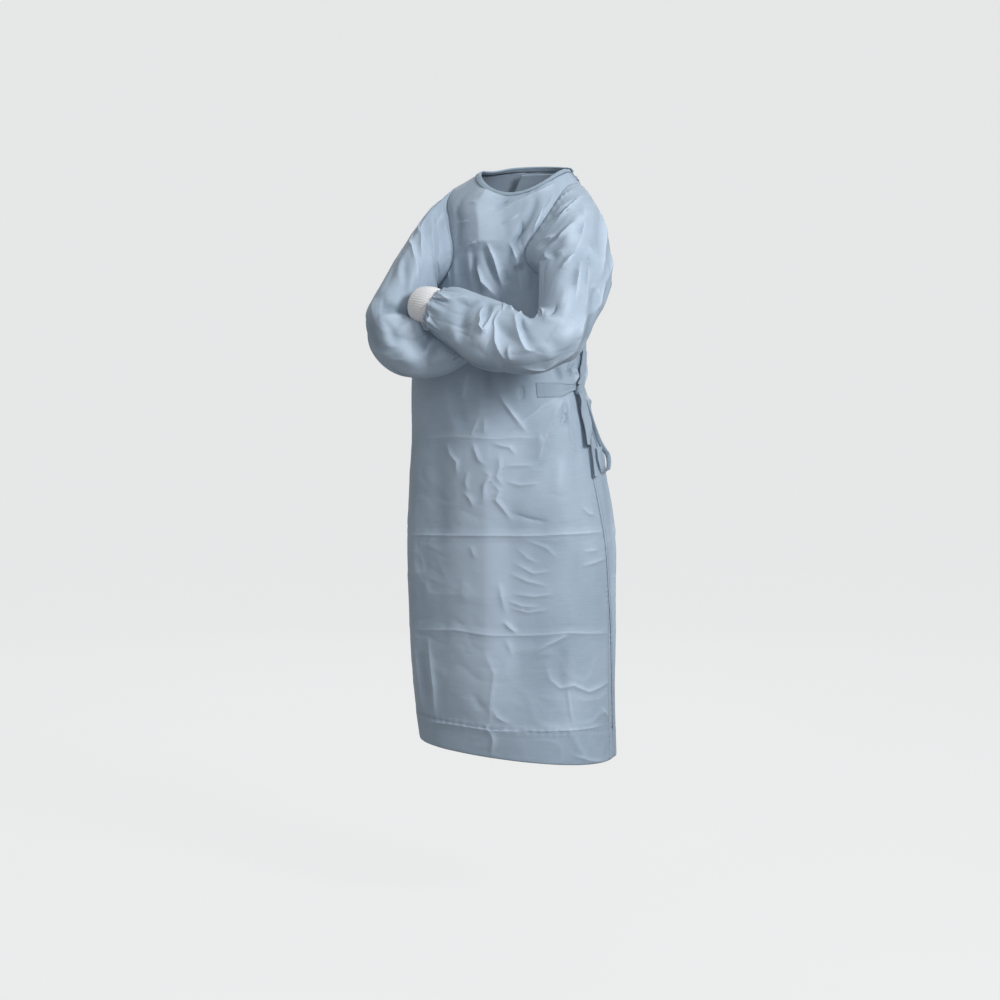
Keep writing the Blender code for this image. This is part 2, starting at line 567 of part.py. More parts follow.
def make_front_tie(front):
    """Tie sewn flat on the front: the panel's own points at the waist, moved out."""
    angles, points, out = (grid[SKIRT_ROWS:SKIRT_ROWS + 2] for grid in front)
    kept = (angles[0] > FRONT_TIE_START) & (angles[0] < FRONT_TIE_END)
    points, out = points[:, kept], out[:, kept]
    share = np.linspace(0, 1, points.shape[1])[None, :, None]
    inner = points + out * (TIE_GAP + FRONT_TIE_RISE * share ** 5)
    add_wall("tie_front", inner + out * TAPE, inner, "tape")


def make_binding(pieces):
    """Strip round the neck, from the outer flap's corner round the back, right and front."""
    front, under, flap = (angles[-1] for angles, _, _ in pieces)
    last = flap[0] - BINDING_STOPS_SHORT
    angles = np.concatenate([flap[:-1], [1.5 * math.pi], front[1:-1] + 2 * math.pi,
                             [2.5 * math.pi], under[(under > under[0]) & (under < last)]
                             + 2 * math.pi, [last + 2 * math.pi]])
    angles, levels = np.meshgrid(angles, np.linspace(BINDING_LEVEL, NECK_LEVEL, 3))
    wound = np.minimum(angles, 1.5 * math.pi)
    raised = flap_lift(wound, levels, 1.5 * math.pi) + BINDING_PROUD
    out = body_normal(angles, levels)
    outer = body(angles, levels) + out * raised[..., None]
    add_wall("neck_binding", outer, outer - BINDING_WALL * out, "binding")


def make_cuff(sleeve):
    """Knitted tube from the gathered sleeve end to the wrist, its mouth open."""
    one = np.array([1.0])
    middle, ahead, tall, deep = (v[0] for v in sleeve.frame(one))
    goal = np.array(sleeve.spec["cuff_end"])
    length = float(np.linalg.norm(goal - middle))
    start = middle + ahead * SEAM_GAP
    share = np.linspace(0, 1, CUFF_ROWS + 1)[:, None]
    away = unit(goal - start)
    line = (1 + 2 * share) * (1 - share) ** 2 * start + share * (1 - share) ** 2 * ahead * length \
        + share ** 2 * (3 - 2 * share) * goal + share ** 2 * (share - 1) * away * length
    rows = []
    for t, point in zip(share[:, 0], line):
        along = unit(ahead * (1 - t) + away * t)
        deep_t = unit(deep - along * (deep @ along))
        tall_t = unit(tall - along * (tall @ along))
        turn = np.arange(CUFF_COLUMNS) / CUFF_COLUMNS * 2 * math.pi
        swell = 1 + CUFF_SWELL * math.sin(math.pi * t)
        a = sleeve.rings["outer"][-1] * CUFF_SHARE * swell
        b = sleeve.rings["deep"][-1] * CUFF_SHARE * swell
        outer = point + np.cos(turn)[:, None] * tall_t * a + np.sin(turn)[:, None] * deep_t * b
        inner = point + np.cos(turn)[:, None] * tall_t * (a - CUFF_WALL) \
            + np.sin(turn)[:, None] * deep_t * (b - CUFF_WALL)
        rows.append((outer, inner))
    return add_wall("cuff_" + sleeve.side, np.array([r[0] for r in rows]),
                    np.array([r[1] for r in rows]), "knit", closed=True)


def strip_on_body(name, route, width, count, twist=0.0):
    """Flat tape laid over the body: the route's rows are angle in degrees, level and lift."""
    table = np.array(route, float)
    place = np.linspace(0, len(table) - 1, count)
    index = np.arange(len(table))
    angle, level, lift = (smooth(index, table[:, k], place) for k in range(3))
    angle = np.radians(angle)
    out = body_normal(angle, level)
    middle = body(angle, level) + out * lift[:, None]
    ahead = unit(np.gradient(middle, axis=0))
    across = unit(np.cross(ahead, out))
    out = unit(np.cross(across, ahead))
    turned = unit(across * math.cos(twist) + out * math.sin(twist))
    face = unit(np.cross(turned, ahead))
    sides = np.array([-0.5, 0.0, 0.5]) * width
    outer = middle[:, None, :] + turned[:, None, :] * sides[None, :, None]
    inner = outer - face[:, None, :] * TAPE
    return add_wall(name, outer, inner, "tape")


def make_knot():
    """The knot: a flattened ball over the spot where both ties meet."""
    angle, level = np.array([KNOT_ANGLE]), np.array([WAIST_LEVEL - KNOT_DROP])
    out = body_normal(angle, level)[0]
    place = body(angle, level)[0] + out * KNOT_LIFT
    bpy.ops.mesh.primitive_uv_sphere_add(segments=12, ring_count=8, radius=1.0)
    knot = bpy.context.object
    knot.name = knot.data.name = "tie_knot"
    for vertex in knot.data.vertices:
        x, y, z = vertex.co
        pinch = 1 - KNOT_PINCH * math.exp(-(z / KNOT_WAIST) ** 2)
        vertex.co = (x * KNOT_SIZE[0] * pinch, y * KNOT_SIZE[1] * pinch, z * KNOT_SIZE[2])
    knot.location = place
    knot.rotation_euler = (0.0, KNOT_TILT, math.atan2(out[1], out[0]))
    knot.data.shade_smooth()
    knot.data.materials.append(make_material("tape"))
    for collection in list(knot.users_collection):
        collection.objects.unlink(knot)
    COLLECTION.objects.link(knot)
    return knot


for thing in list(bpy.data.objects):
    bpy.data.objects.remove(thing, do_unlink=True)
COLLECTION = bpy.data.collections.new("surgical_gown")
bpy.context.scene.collection.children.link(COLLECTION)

built = {side: sleeve_walls(side) for side in SLEEVES}      # sleeve, outer, inner, mitres
panels = make_body({side: walls[3] for side, walls in built.items()})
make_binding(panels)
make_front_tie(panels[0])
for side, (sleeve, outer, inner, _) in built.items():
    add_wall("sleeve_" + side, outer, inner, "cloth", closed=True)
    make_cuff(sleeve)
for name, route, width, count, twist in TIES:
    strip_on_body(name, route, width, count, twist)
make_knot()
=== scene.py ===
import math

import bpy
import numpy as np
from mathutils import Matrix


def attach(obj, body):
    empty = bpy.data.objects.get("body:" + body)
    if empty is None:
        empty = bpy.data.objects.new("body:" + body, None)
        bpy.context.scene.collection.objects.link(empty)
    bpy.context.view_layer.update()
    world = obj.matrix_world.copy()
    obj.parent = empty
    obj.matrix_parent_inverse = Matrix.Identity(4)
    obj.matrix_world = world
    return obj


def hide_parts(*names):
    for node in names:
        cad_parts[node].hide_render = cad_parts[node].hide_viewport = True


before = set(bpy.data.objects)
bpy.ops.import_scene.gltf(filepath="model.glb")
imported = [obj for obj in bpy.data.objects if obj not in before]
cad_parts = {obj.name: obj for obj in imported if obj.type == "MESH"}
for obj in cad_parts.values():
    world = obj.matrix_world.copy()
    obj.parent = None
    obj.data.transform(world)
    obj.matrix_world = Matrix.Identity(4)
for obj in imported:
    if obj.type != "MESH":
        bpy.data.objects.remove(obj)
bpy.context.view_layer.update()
print("frame loaded,", len(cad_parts), "nodes")

# camera, and soft light from five square lamps
view = {"place": (1.77085, -4.44869, -0.29776), "turned": 22, "looks down": 4.5,
        "lens": 83.4, "sensor": 36.0}
cameraData = bpy.data.cameras.new("camera")
cameraData.lens = view["lens"]
cameraData.sensor_width = view["sensor"]
camera = bpy.data.objects.new("camera", cameraData)
camera.location = view["place"]
camera.rotation_euler = (math.radians(90 - view["looks down"]), 0, math.radians(view["turned"]))
bpy.context.scene.collection.objects.link(camera)
bpy.context.scene.camera = camera

softboxes = (                 # name, place, aims at, size in metres, watts
    ("key", (3.1, -1.5, 1.2), (0.0, -0.05, -0.55), 1.0, 118),
    ("front", (1.3, -3.6, 0.8), (0.0, 0.0, -0.6), 2.0, 28),
    ("fill", (-3.2, -1.6, 0.2), (0.0, 0.0, -0.6), 2.4, 6),
    ("top", (0.2, 0.3, 3.0), (0.0, 0.0, -0.6), 2.0, 22),
    ("behind", (-1.6, 3.2, 1.2), (0.0, 0.0, -0.6), 2.4, 40),
)
for name, place, aim, size, watts in softboxes:
    lamp = bpy.data.lights.new(name, "AREA")
    lamp.shape = "SQUARE"
    lamp.size = size
    lamp.energy = watts
    holder = bpy.data.objects.new(name, lamp)
    holder.location = place
    away = np.array(aim) - np.array(place)
    holder.rotation_euler = (math.acos(-away[2] / np.linalg.norm(away)), 0,
                             math.atan2(away[1], away[0]) - math.pi / 2)
    bpy.context.scene.collection.objects.link(holder)

world = bpy.data.worlds.new("studio")
world.use_nodes = True
sky = world.node_tree.nodes["Background"]
sky.inputs["Color"].default_value = (1.0, 1.0, 0.97, 1.0)
sky.inputs["Strength"].default_value = 0.40
bpy.context.scene.world = world
bpy.context.scene.view_settings.view_transform = "Standard"


def hermite(t, start, end, leave, arrive):       # cubic from start to end with a slope at each
    return (1 + 2 * t) * (1 - t) ** 2 * start + t * (1 - t) ** 2 * leave \
        + t * t * (3 - 2 * t) * end + t * t * (t - 1) * arrive


def smooth(xs, ys, x):        # cubic through a table, its slopes from neighbouring rows
    xs, ys = np.asarray(xs, float), np.asarray(ys, float)
    slopes = np.gradient(ys, xs)
    x = np.clip(x, xs[0], xs[-1])
    i = np.clip(np.searchsorted(xs, x, side="right") - 1, 0, len(xs) - 2)
    span = xs[i + 1] - xs[i]
    return hermite((x - xs[i]) / span, ys[i], ys[i + 1], span * slopes[i], span * slopes[i + 1])


def step(low, high, x):       # 3t^2 - 2t^3 with t from 0 at low to 1 at high
    t = np.clip((x - low) / (high - low), 0.0, 1.0)
    return t * t * (3 - 2 * t)


def bell(x, width):           # exp(-(x / width)^2)
    return np.exp(-(x / width) ** 2)


def unit(v):
    return v / np.maximum(np.linalg.norm(v, axis=-1, keepdims=True), 1e-12)


def squareTo(v, axis):        # what is left of v at right angles to the axis, made one long
    return unit(v - axis * np.sum(v * axis, axis=-1, keepdims=True))


def distances(line):          # how far along a line of points each of them lies
    return np.concatenate([[0], np.cumsum(np.linalg.norm(np.diff(line, axis=0), axis=1))])


def readAt(where, places, points):        # a line's points, or its directions, between its rows
    return np.stack([np.interp(where, places, points[:, k]) for k in range(3)], axis=-1)


def normalsOf(surface, u, v, du=1e-3, dv=1e-3):     # cross product of small steps along u and v
    alongU = surface(u + du, v) - surface(u - du, v)
    alongV = surface(u, v + dv) - surface(u, v - dv)
    return unit(np.cross(alongU, alongV))


def gridNormals(points, closed=False):    # cross product of the grid's own differences
    if closed:
        alongU = np.roll(points, -1, axis=1) - np.roll(points, 1, axis=1)
    else:
        alongU = np.gradient(points, axis=1)
    return unit(np.cross(alongU, np.gradient(points, axis=0)))


def makeMesh(name, points, faces, uvs, material, marks=None):
    mesh = bpy.data.meshes.new(name)
    mesh.from_pydata(points.tolist(), [], [face for block in faces for face in block.tolist()])
    layer = mesh.uv_layers.new(name="sheet")
    loops = np.zeros(len(mesh.loops), int)
    mesh.loops.foreach_get("vertex_index", loops)
    layer.data.foreach_set("uv", uvs[loops].astype(np.float32).ravel())
    for label, values in (marks or {}).items():
        mark = mesh.attributes.new(name=label, type="FLOAT", domain="POINT")
        mark.data.foreach_set("value", values.astype(np.float32))
    mesh.shade_smooth()
    mesh.materials.append(material)
    mesh.update()
    thing = bpy.data.objects.new(name, mesh)
    bpy.context.scene.collection.objects.link(thing)
    return thing


def gridFaces(index):         # quads between neighbouring rows and columns of an index grid
    a, b, c, d = index[:-1, :-1], index[:-1, 1:], index[1:, 1:], index[1:, :-1]
    return np.stack([a, b, c, d], axis=-1).reshape(-1, 4)


riseSpan = 0.016              # a fold's full height or depth in the painted shade, 8 mm either way


def makeShell(name, outer, uv, thick, material, closed=False, marks=None, coarse=3):
    # a fine outer face, a coarser inner face moved in along the normals, a rim, and triangles
    # from the rim's fine lower edge to the coarse face; rise is how far a point stands up from
    # the plain form, 0.5 being level, and the colour is painted from it: painted light on fold
    # tops, painted shade in hollows
    inner = outer - thick * gridNormals(outer, closed)
    rows, columns = outer.shape[:2]
    index = np.arange(rows * columns).reshape(rows, columns)
    marks = {label: np.broadcast_to(values, (rows, columns)) for label, values in (marks or {}).items()}
    marks["rise"] = np.clip(0.5 + marks.get("rise", np.zeros((rows, columns))) / riseSpan, 0, 1)
    pickRows = np.arange(coarse, rows - 1, coarse)
    pickColumns = np.arange(0, columns, coarse) if closed else np.arange(coarse, columns - 1, coarse)
    pick = np.ix_(pickRows, pickColumns)
    start = rows * columns + pickRows.size * pickColumns.size
    inside = np.arange(rows * columns, start).reshape(pickRows.size, -1)
    atRow, atColumn = np.arange(rows), np.arange(columns)
    if closed:                # a tube: its last column joins the first, and it has two rims
        around = [np.concatenate([grid, grid[:, :1]], axis=1) for grid in (index, inside)]
        loops = [(0 * atColumn, atColumn[::-1]), (0 * atColumn + rows - 1, atColumn)]
    else:
        around = [index, inside]
        top, side = 0 * atColumn[1:], 0 * atRow[1:]
        loops = [(np.concatenate([top, atRow[:-1], top + rows - 1, atRow[:0:-1]]),
                  np.concatenate([atColumn[:0:-1], side, atColumn[:-1], side + columns - 1]))]
    faces = [gridFaces(around[0]), gridFaces(around[1])[:, ::-1]]
    points = [outer.reshape(-1, 3), inner[pick].reshape(-1, 3)]
    flat = [uv.reshape(-1, 2), uv[pick].reshape(-1, 2)]
    level = {"rise": 0.5, "creaseAway": 1.0, "creaseTall": 0.0}
    marked = {label: [values.ravel(), np.full(values[pick].size, level[label])]
              for label, values in marks.items()}
    for r, c in loops:
        line, below = index[r, c], start + np.arange(len(r))
        start += len(r)
        toRow = np.clip(np.round(r / coarse).astype(int) - 1, 0, pickRows.size - 1)
        toColumn = np.round(c / coarse).astype(int)
        toColumn = toColumn % pickColumns.size if closed else np.clip(toColumn - 1, 0, pickColumns.size - 1)
        near = inside[toRow, toColumn]
        nextLine, nextBelow, nextNear = (np.roll(k, -1) for k in (line, below, near))
        faces.append(np.stack([line, nextLine, nextBelow, below], axis=-1))
        faces.append(np.stack([below, nextBelow, near], axis=-1))
        faces.append(np.stack([nextBelow, nextNear, near], axis=-1)[near != nextNear])
        points.append(inner[r, c])
        flat.append(uv[r, c])
        for label, values in marks.items():
            marked[label].append(values[r, c])
    return makeMesh(name, np.concatenate(points), faces, np.concatenate(flat),
                    material, {label: np.concatenate(parts) for label, parts in marked.items()})


def finish(thing, nodes):
    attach(thing, "root")
    if nodes:
        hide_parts(*nodes)


def lineField(x, y, line, pad, kind):
    # where the points lie near a bent line, how far to its side, and how its ends fade
    line = np.array(line, float)
    near = (x > line[:, 0].min() - pad) & (x < line[:, 0].max() + pad) \
        & (y > line[:, 1].min() - pad) & (y < line[:, 1].max() + pad)
    px, py = x[near], y[near]
    runs = np.linalg.norm(np.diff(line, axis=0), axis=1)
    best = np.full(px.shape, 1e9)
    across, along = np.zeros(px.shape), np.zeros(px.shape)
    for start, end, run, before in zip(line, line[1:], runs, np.cumsum(runs) - runs):
        ex, ey = (end - start) / run
        held = np.clip((px - start[0]) * ex + (py - start[1]) * ey, 0, run)
        dist = np.hypot(px - start[0] - ex * held, py - start[1] - ey * held)
        side = np.sign((px - start[0]) * ey - (py - start[1]) * ex)
        closer = dist < best
        best = np.where(closer, dist, best)
        across = np.where(closer, dist * side, across)
        along = np.where(closer, (before + held) / runs.sum(), along)
    ends = np.sin(math.pi * np.clip(along, 0.02, 0.98)) ** 0.6
    return near, across, np.minimum(1, 2.4 * ends ** 2) if kind in ("tent", "line") else ends


def profile(kind, d):         # height across a fold, d being the distance from its line in widths
    if kind == "pinch":       # a pinched ridge, exp(-1.35 (sqrt(d^2 + 0.08) - 0.283))
        return np.exp(-1.35 * (np.sqrt(d * d + 0.08) - 0.283))
    if kind == "tent":        # two flat flanks meeting in a blunt edge
        flank = np.maximum(0, 1 - (np.sqrt(d * d + 0.002) - 0.045))
        return np.where(flank < 0.25, 2 * flank * flank, flank - 0.125) / 0.875
    if kind == "line":        # a narrow pressed line with wide flat flanks
        return 0.6 * np.maximum(0, 1 - d / 6) + 0.4 * np.exp(-d * d)
    return np.exp(-d * d)     # a bell


def foldField(x, y, folds):
    # sum of depth * profile(across / width) * soft ends, one side made wider by the skew
    total = np.zeros(np.broadcast(x, y).shape)
    x, y = np.broadcast_arrays(x, y)
    for kind, width, depth, skew, line in folds:
        near, across, ends = lineField(x, y, line, 4.5 * width, kind)
        wide = width * np.where(across > 0, 1 + skew, 1 - skew)
        total[near] += depth * profile(kind, np.abs(across) / wide) * ends
    return total


def creaseField(x, y, folds):
    # signed distance to the nearest crease line, 1 being 10 mm, and that crease's height, faded from
    # 4 to 8 mm off and where two are as near; a valley has a crease only 11 mm and more from a ridge
    x, y = np.broadcast_arrays(x, y)
    found = []
    for upward in (True, False):
        first, second, away = (np.full(x.shape, 0.05) for k in range(3))
        tall = np.zeros(x.shape)
        for kind, width, depth, skew, line in folds:
            if kind not in ("pinch", "line") or (depth > 0) != upward:
                continue
            near, across, ends = lineField(x, y, line, 0.014, kind)
            off = np.abs(across)
            closer = off < first[near]
            second[near] = np.where(closer, first[near], np.minimum(second[near], off))
            away[near] = np.where(closer, across, away[near])
            tall[near] = np.where(closer, depth * np.maximum(0, ends - 0.25) / 0.75, tall[near])
            first[near] = np.minimum(first[near], off)
        fade = (1 - step(0.004, 0.008, first)) * step(1.1, 1.9, second / np.maximum(first, 1e-5)) \
            * step(0.001, 0.005, second - first)
        found.append((first, away, tall * fade))
    (first, away, tall), valley = found
    beside = first < 0.011
    away = np.where(beside, away, valley[1])
    tall = np.where(beside, tall, valley[2] * step(0.011, 0.016, first))
    # the shader uses these for relief and also paints a highlight along ridge creases and shade along valley
    # creases
    return {"creaseAway": np.clip(away / 0.010, -1, 1), "creaseTall": tall / 0.010}


def valueNoise(x, y, cell, seed, around=None):
    # smooth steps between random values on a lattice, closed on itself where a girth is given
    table = np.random.default_rng(seed).uniform(-1, 1, (64, 64))
    count = 64 if around is None else max(3, round(around / cell))
    gx, gy = x / (cell if around is None else around / count), y / cell
    i, j = np.floor(gx).astype(int), np.floor(gy).astype(int)
    fx, fy = step(0, 1, gx - i), step(0, 1, gy - j)
    corner = [[table[(i + a) % count, (j + b) % 64] for b in (0, 1)] for a in (0, 1)]
    return (corner[0][0] * (1 - fx) + corner[1][0] * fx) * (1 - fy) \
        + (corner[0][1] * (1 - fx) + corner[1][1] * fx) * fy


crumpleCells = ((0.090, 1.0), (0.045, 0.75), (0.023, 0.40))       # size of a cell, and its share
crumpleWarp, crumpleSway, crumpleQuiet = (0.016, 0.060), 0.120, 0.180


def crumple(x, y, seed, depth, around=None):
    # sum over the cells of share * max(0, 1 - 1.4 |n|)^2 * sway, n and sway being noise and the
    # first one read at warped places, so sharp little ridges and troughs run where n is nought
    shift, cell = crumpleWarp
    warpX = x + shift * valueNoise(x, y, cell, seed + 1, around)
    warpY = y + shift * valueNoise(x, y, cell, seed + 2, around)
    total = np.zeros(np.broadcast(x, y).shape)
    for k, (cell, share) in enumerate(crumpleCells):
        n = valueNoise(warpX, warpY, cell, seed + 3 + k, around)
        sway = np.clip(1.8 * valueNoise(x, y, crumpleSway, seed + 7 + k, around), -1, 1)
        total = total + share * np.maximum(0, 1 - 1.4 * np.abs(n)) ** 2 * sway
    quiet = 0.30 + 0.70 * step(-0.5, 0.5, valueNoise(x, y, crumpleQuiet, seed + 11, around))
    return depth * quiet * total


def mainCrease(x, y, x0, y0, x1, y1, width, depth):    # a bell across, faded at its ends
    dx, dy = x1 - x0, y1 - y0
    length = math.hypot(dx, dy)
    along = ((x - x0) * dx + (y - y0) * dy) / length
    across = ((x - x0) * dy - (y - y0) * dx) / length
    ends = step(-width, 0.3 * length, along) * step(-width, 0.3 * length, length - along)
    return depth * bell(across, width) * ends


# folds, given one by one: kind, width and depth in millimetres, skew, then every line that has them;
# on the body a point is (degrees round it, level), on a sleeve (degrees round it, along)
bodyFolds = (
    ("tent", 84, 12, 0, ((7, -0.464), (2.5, -0.664), (2, -0.866), (0.5, -1.068), (1.5, -1.19))),
    ("tent", 60, 12, 0, ((-31, 0.03), (-13.5, -0.05), (-11.5, -0.092), (-10, -0.124), (-9, -0.16))),
    ("line", 2.4, 3.6, 0,
     ((-57, -0.746), (-19, -0.74), (4.5, -0.736), (29, -0.734), (44, -0.732), (89.5, -0.73))),
    ("line", 2.2, 2.7, 0,
     ((-50, -0.948), (-15.5, -0.934), (-5.5, -0.936), (6.5, -0.938), (28.5, -0.932), (46.5, -0.926),
      (95.5, -0.934)),
     ((-52, -1.142), (-18.5, -1.132), (2, -1.132), (21.5, -1.126), (45.5, -1.12), (87.5, -1.112))),
    ("line", 2.2, 2.4, 0, ((-40, -0.544), (-13.5, -0.538), (10.5, -0.542), (23.5, -0.538), (37, -0.54))),
    ("bell", 14, 4.5, 0, ((48.5, -0.578), (45, -0.616), (42, -0.654))),
    ("bell", 14, -3, 0, ((-43, -0.988), (-40.5, -1.096))),
    ("bell", 14, -4, 0, ((4, -0.262), (16, -0.3), (30, -0.33))),
    ("bell", 12, -3, 0, ((43, -0.956), (41, -1.002), (44, -1.062))),
    ("bell", 12, -3.8, 0, ((-40, -0.036), (-31, -0.09), (-29.5, -0.156))),
    ("bell", 12, -4.5, 0, ((44, -0.528), (34.5, -0.574), (30.5, -0.604))),
    ("bell", 12, -6, 0, ((31.5, -0.002), (29, -0.032), (21.5, -0.082), (13, -0.146), (8.5, -0.19))),
    ("bell", 10, 3, 0, ((-34.5, -0.172), (-31.5, -0.214), (-29.5, -0.236))),
    ("bell", 10, 1.8, 0, ((-9, -0.832), (-10.5, -0.88))),
    ("bell", 9, 5.9, 0.3, ((-19.5, -0.16), (-16, -0.192), (-13, -0.226), (-9, -0.25))),
    ("bell", 9, 3, 0, ((15.5, -0.398), (15.5, -0.428), (16.5, -0.458))),
    ("bell", 9, -4.2, 0, ((18, -0.126), (25, -0.172), (30, -0.216), (31, -0.254))),
    ("bell", 9, -4.7, 0, ((-7.5, -0.142), (-2.5, -0.186), (4, -0.226), (8, -0.246))),
    ("bell", 9, -7, 0.2, ((-14.5, -0.168), (-12.5, -0.206), (-8, -0.238), (-4, -0.254))),
    ("bell", 8, 3.5, 0, ((14.5, -0.168), (16, -0.188), (22, -0.188))),
    ("bell", 8, 2.3, 0, ((5.5, -0.42), (6.5, -0.45), (2.5, -0.48), (3, -0.498))),
    ("bell", 8, 2.2, 0, ((-18.5, -0.436), (-16.5, -0.488), (-14, -0.534)),
     ((47.5, -1.118), (53, -1.154), (61, -1.182))),
    ("bell", 8, 1.8, 0, ((33.5, -0.54), (37.5, -0.54))),
    ("bell", 8, -2.2, 0, ((-10, -0.418), (-12, -0.464)), ((-10.5, -0.436), (-9, -0.488), (-8.5, -0.532))),
    ("bell", 8, -3.2, 0, ((34, -0.16), (43, -0.196), (48, -0.242))),
    ("bell", 8, -3.5, 0, ((8.5, -0.198), (9.5, -0.222), (14, -0.22)),
     ((7, -0.396), (8.5, -0.41), (8.5, -0.436), (8, -0.46))),
    ("bell", 8, -4.1, 0, ((15, -0.192), (18, -0.2), (24, -0.19))),
    ("bell", 8, -5.9, 0, ((54.5, -0.394), (59.5, -0.412), (63, -0.43))),
    ("bell", 7, -1.8, 0, ((-6.5, -1.06), (-4, -1.078), (-1.5, -1.094))),
    ("bell", 6, 1.8, 0, ((26, -0.976), (36.5, -0.96))),
    ("bell", 6, -3.5, 0, ((69.5, -0.396), (80, -0.4))),
    ("pinch", 10, 7.2, 0.2, ((36.5, -0.046), (29, -0.098), (23.5, -0.14), (21, -0.174))),
    ("pinch", 9, 9, 0.3, ((62, -0.462), (54, -0.482), (45, -0.518), (36.5, -0.554), (32, -0.588))),
    ("pinch", 7, 9, 0.3, ((-10.5, -0.186), (-6, -0.224), (0, -0.242), (5.5, -0.256))),
    ("pinch", 7, 8.1, 0, ((-4.5, -0.134), (1, -0.17), (5, -0.212), (9.5, -0.244))),
    ("pinch", 7, 6.3, 0, ((67.5, -0.462), (62.5, -0.498), (60, -0.534), (61, -0.568))),
    ("pinch", 7, 5.4, 0.3, ((-2, -0.038), (3, -0.026), (10, -0.014), (26.5, -0.006), (57, -0.004))),
    ("pinch", 6, 10.8, 0, ((71, -0.376), (69.5, -0.4), (74.5, -0.412))),
    ("pinch", 6, 7, 0.2, ((23, -0.148), (32, -0.182), (38, -0.222), (41, -0.262))),
    ("pinch", 6, 6, 0, ((11, -0.132), (17, -0.176), (21, -0.22), (23, -0.258))),
    ("pinch", 6, 4.5, 0, ((-43, -0.166), (-40.5, -0.194), (-38, -0.226)),
     ((-36, -0.958), (-34, -1.012), (-33, -1.066), (-34.5, -1.13))),
    ("pinch", 6, 4, 0, ((58.5, -0.456), (42, -0.476), (30, -0.5), (20, -0.522))),
    ("pinch", 6, 3.6, 0, ((-49.5, -0.98), (-47, -1.046), (-45.5, -1.122))),
    ("pinch", 6, -5.4, 0, ((19, -0.068), (18, -0.108), (15.5, -0.132)),
     ((64, -0.468), (58.5, -0.498), (53.5, -0.518))),
    ("pinch", 5, 7.2, 0, ((80, -0.402), (84, -0.414), (78.5, -0.43))),
    ("pinch", 5, 6.3, 0.2, ((-22.5, -0.154), (-18, -0.14), (-11.5, -0.132))),
    ("pinch", 5, 5.4, 0, ((15, -0.448), (18, -0.47), (23, -0.5), (27.5, -0.526))),
    ("pinch", 5, 4.5, 0, ((40, -0.172), (51, -0.2), (57, -0.236)),
     ((-2.5, -0.406), (-5, -0.434), (-7, -0.462)), ((25.5, -0.968), (34, -0.95), (46.5, -0.93))),
    ("pinch", 5, 3.6, 0,
     ((32.5, -0.994), (35, -1.02), (41, -1.036), (50, -1.03), (62.5, -1.044), (88.5, -1.03)),
     ((62, -0.68), (66, -0.692), (72.5, -0.696))),
    ("pinch", 5, 3.5, 0, ((4.5, -0.07), (10, -0.06), (16, -0.046))),
    ("pinch", 5, 3, 0, ((47, -0.03), (38, -0.055), (31, -0.094), (27, -0.136), (24, -0.176))),
    ("pinch", 5, 2.7, 0, ((3, -1.084), (5.5, -1.104), (12, -1.116))),
    ("pinch", 5, -3.6, 0, ((-6.5, -0.024), (-2.5, -0.016), (3.5, -0.006))),
    ("pinch", 5, -4.5, 0, ((29.5, -0.434), (29, -0.462))),
    ("pinch", 4, 4.5, 0, ((10, -0.908), (13, -0.92), (16.5, -0.93))),
    ("pinch", 4, 4, 0, ((-3.5, -0.55), (-2, -0.566), (0, -0.584), (3, -0.594)),
     ((6.5, -0.628), (10, -0.644), (8, -0.664), (12, -0.684), (15.5, -0.704))),
    ("pinch", 4, 3.6, 0, ((-20.5, -0.554), (-18, -0.574), (-13.5, -0.59), (-13.5, -0.616)),
     ((8, -0.55), (13, -0.556), (17, -0.558), (19.5, -0.572)),
     ((11, -0.572), (11, -0.598), (9, -0.616), (12, -0.638)),
     ((3, -0.606), (5.5, -0.616), (2.5, -0.634), (1.5, -0.67)), ((-9, -0.65), (-5.5, -0.664), (-4, -0.68)),
     ((77.5, -1.082), (90.5, -1.108)), ((-2, -1.12), (1.5, -1.136), (2.5, -1.152), (0, -1.19))),
    ("pinch", 4, 3.2, 0, ((8, -0.828), (9.5, -0.864), (11, -0.892))),
    ("pinch", 4, 2.7, 0, ((-37.5, -0.088), (-21.5, -0.072)), ((1.5, -0.496), (-4, -0.532), (-1.5, -0.538)),
     ((4.5, -0.5), (3.5, -0.532)), ((-6.5, -0.608), (-8, -0.63), (-7, -0.65)),
     ((13.5, -0.596), (23.5, -0.594), (29.5, -0.592)), ((14, -0.626), (21, -0.634), (32, -0.628)),
     ((46, -1.036), (47.5, -1.082), (49.5, -1.108)), ((48.5, -1.17), (63.5, -1.182), (81, -1.19)),
     ((12.5, -0.866), (20, -0.876), (28.5, -0.876)), ((56.5, -0.796), (70.5, -0.79), (84.5, -0.784)),
     ((0.5, -0.97), (5, -1.016), (3, -1.068), (1, -1.126))),
    ("pinch", 4, 2.2, 0, ((-28.5, -0.024), (-20, -0.022)), ((59, -0.768), (74, -0.766)),
     ((11.5, -0.946), (14, -0.976)), ((-6, -0.758), (-3.5, -0.784))),
    ("pinch", 4, -2.7, 0, ((14.5, -0.688), (26.5, -0.702), (35, -0.708))),
    ("pinch", 3.5, 2.2, 0, ((16, -0.79), (26, -0.81), (35.5, -0.804)),
     ((14, -0.812), (23, -0.826), (33, -0.834)), ((16, -0.852), (26, -0.856), (37, -0.85)),
     ((13.5, -0.88), (23, -0.888), (34.5, -0.88))),
    ("pinch", 3.5, 1.8, 0, ((17.5, -0.76), (23, -0.78), (28.5, -0.79)),
     ((22, -0.744), (33, -0.758), (40, -0.78))),
)
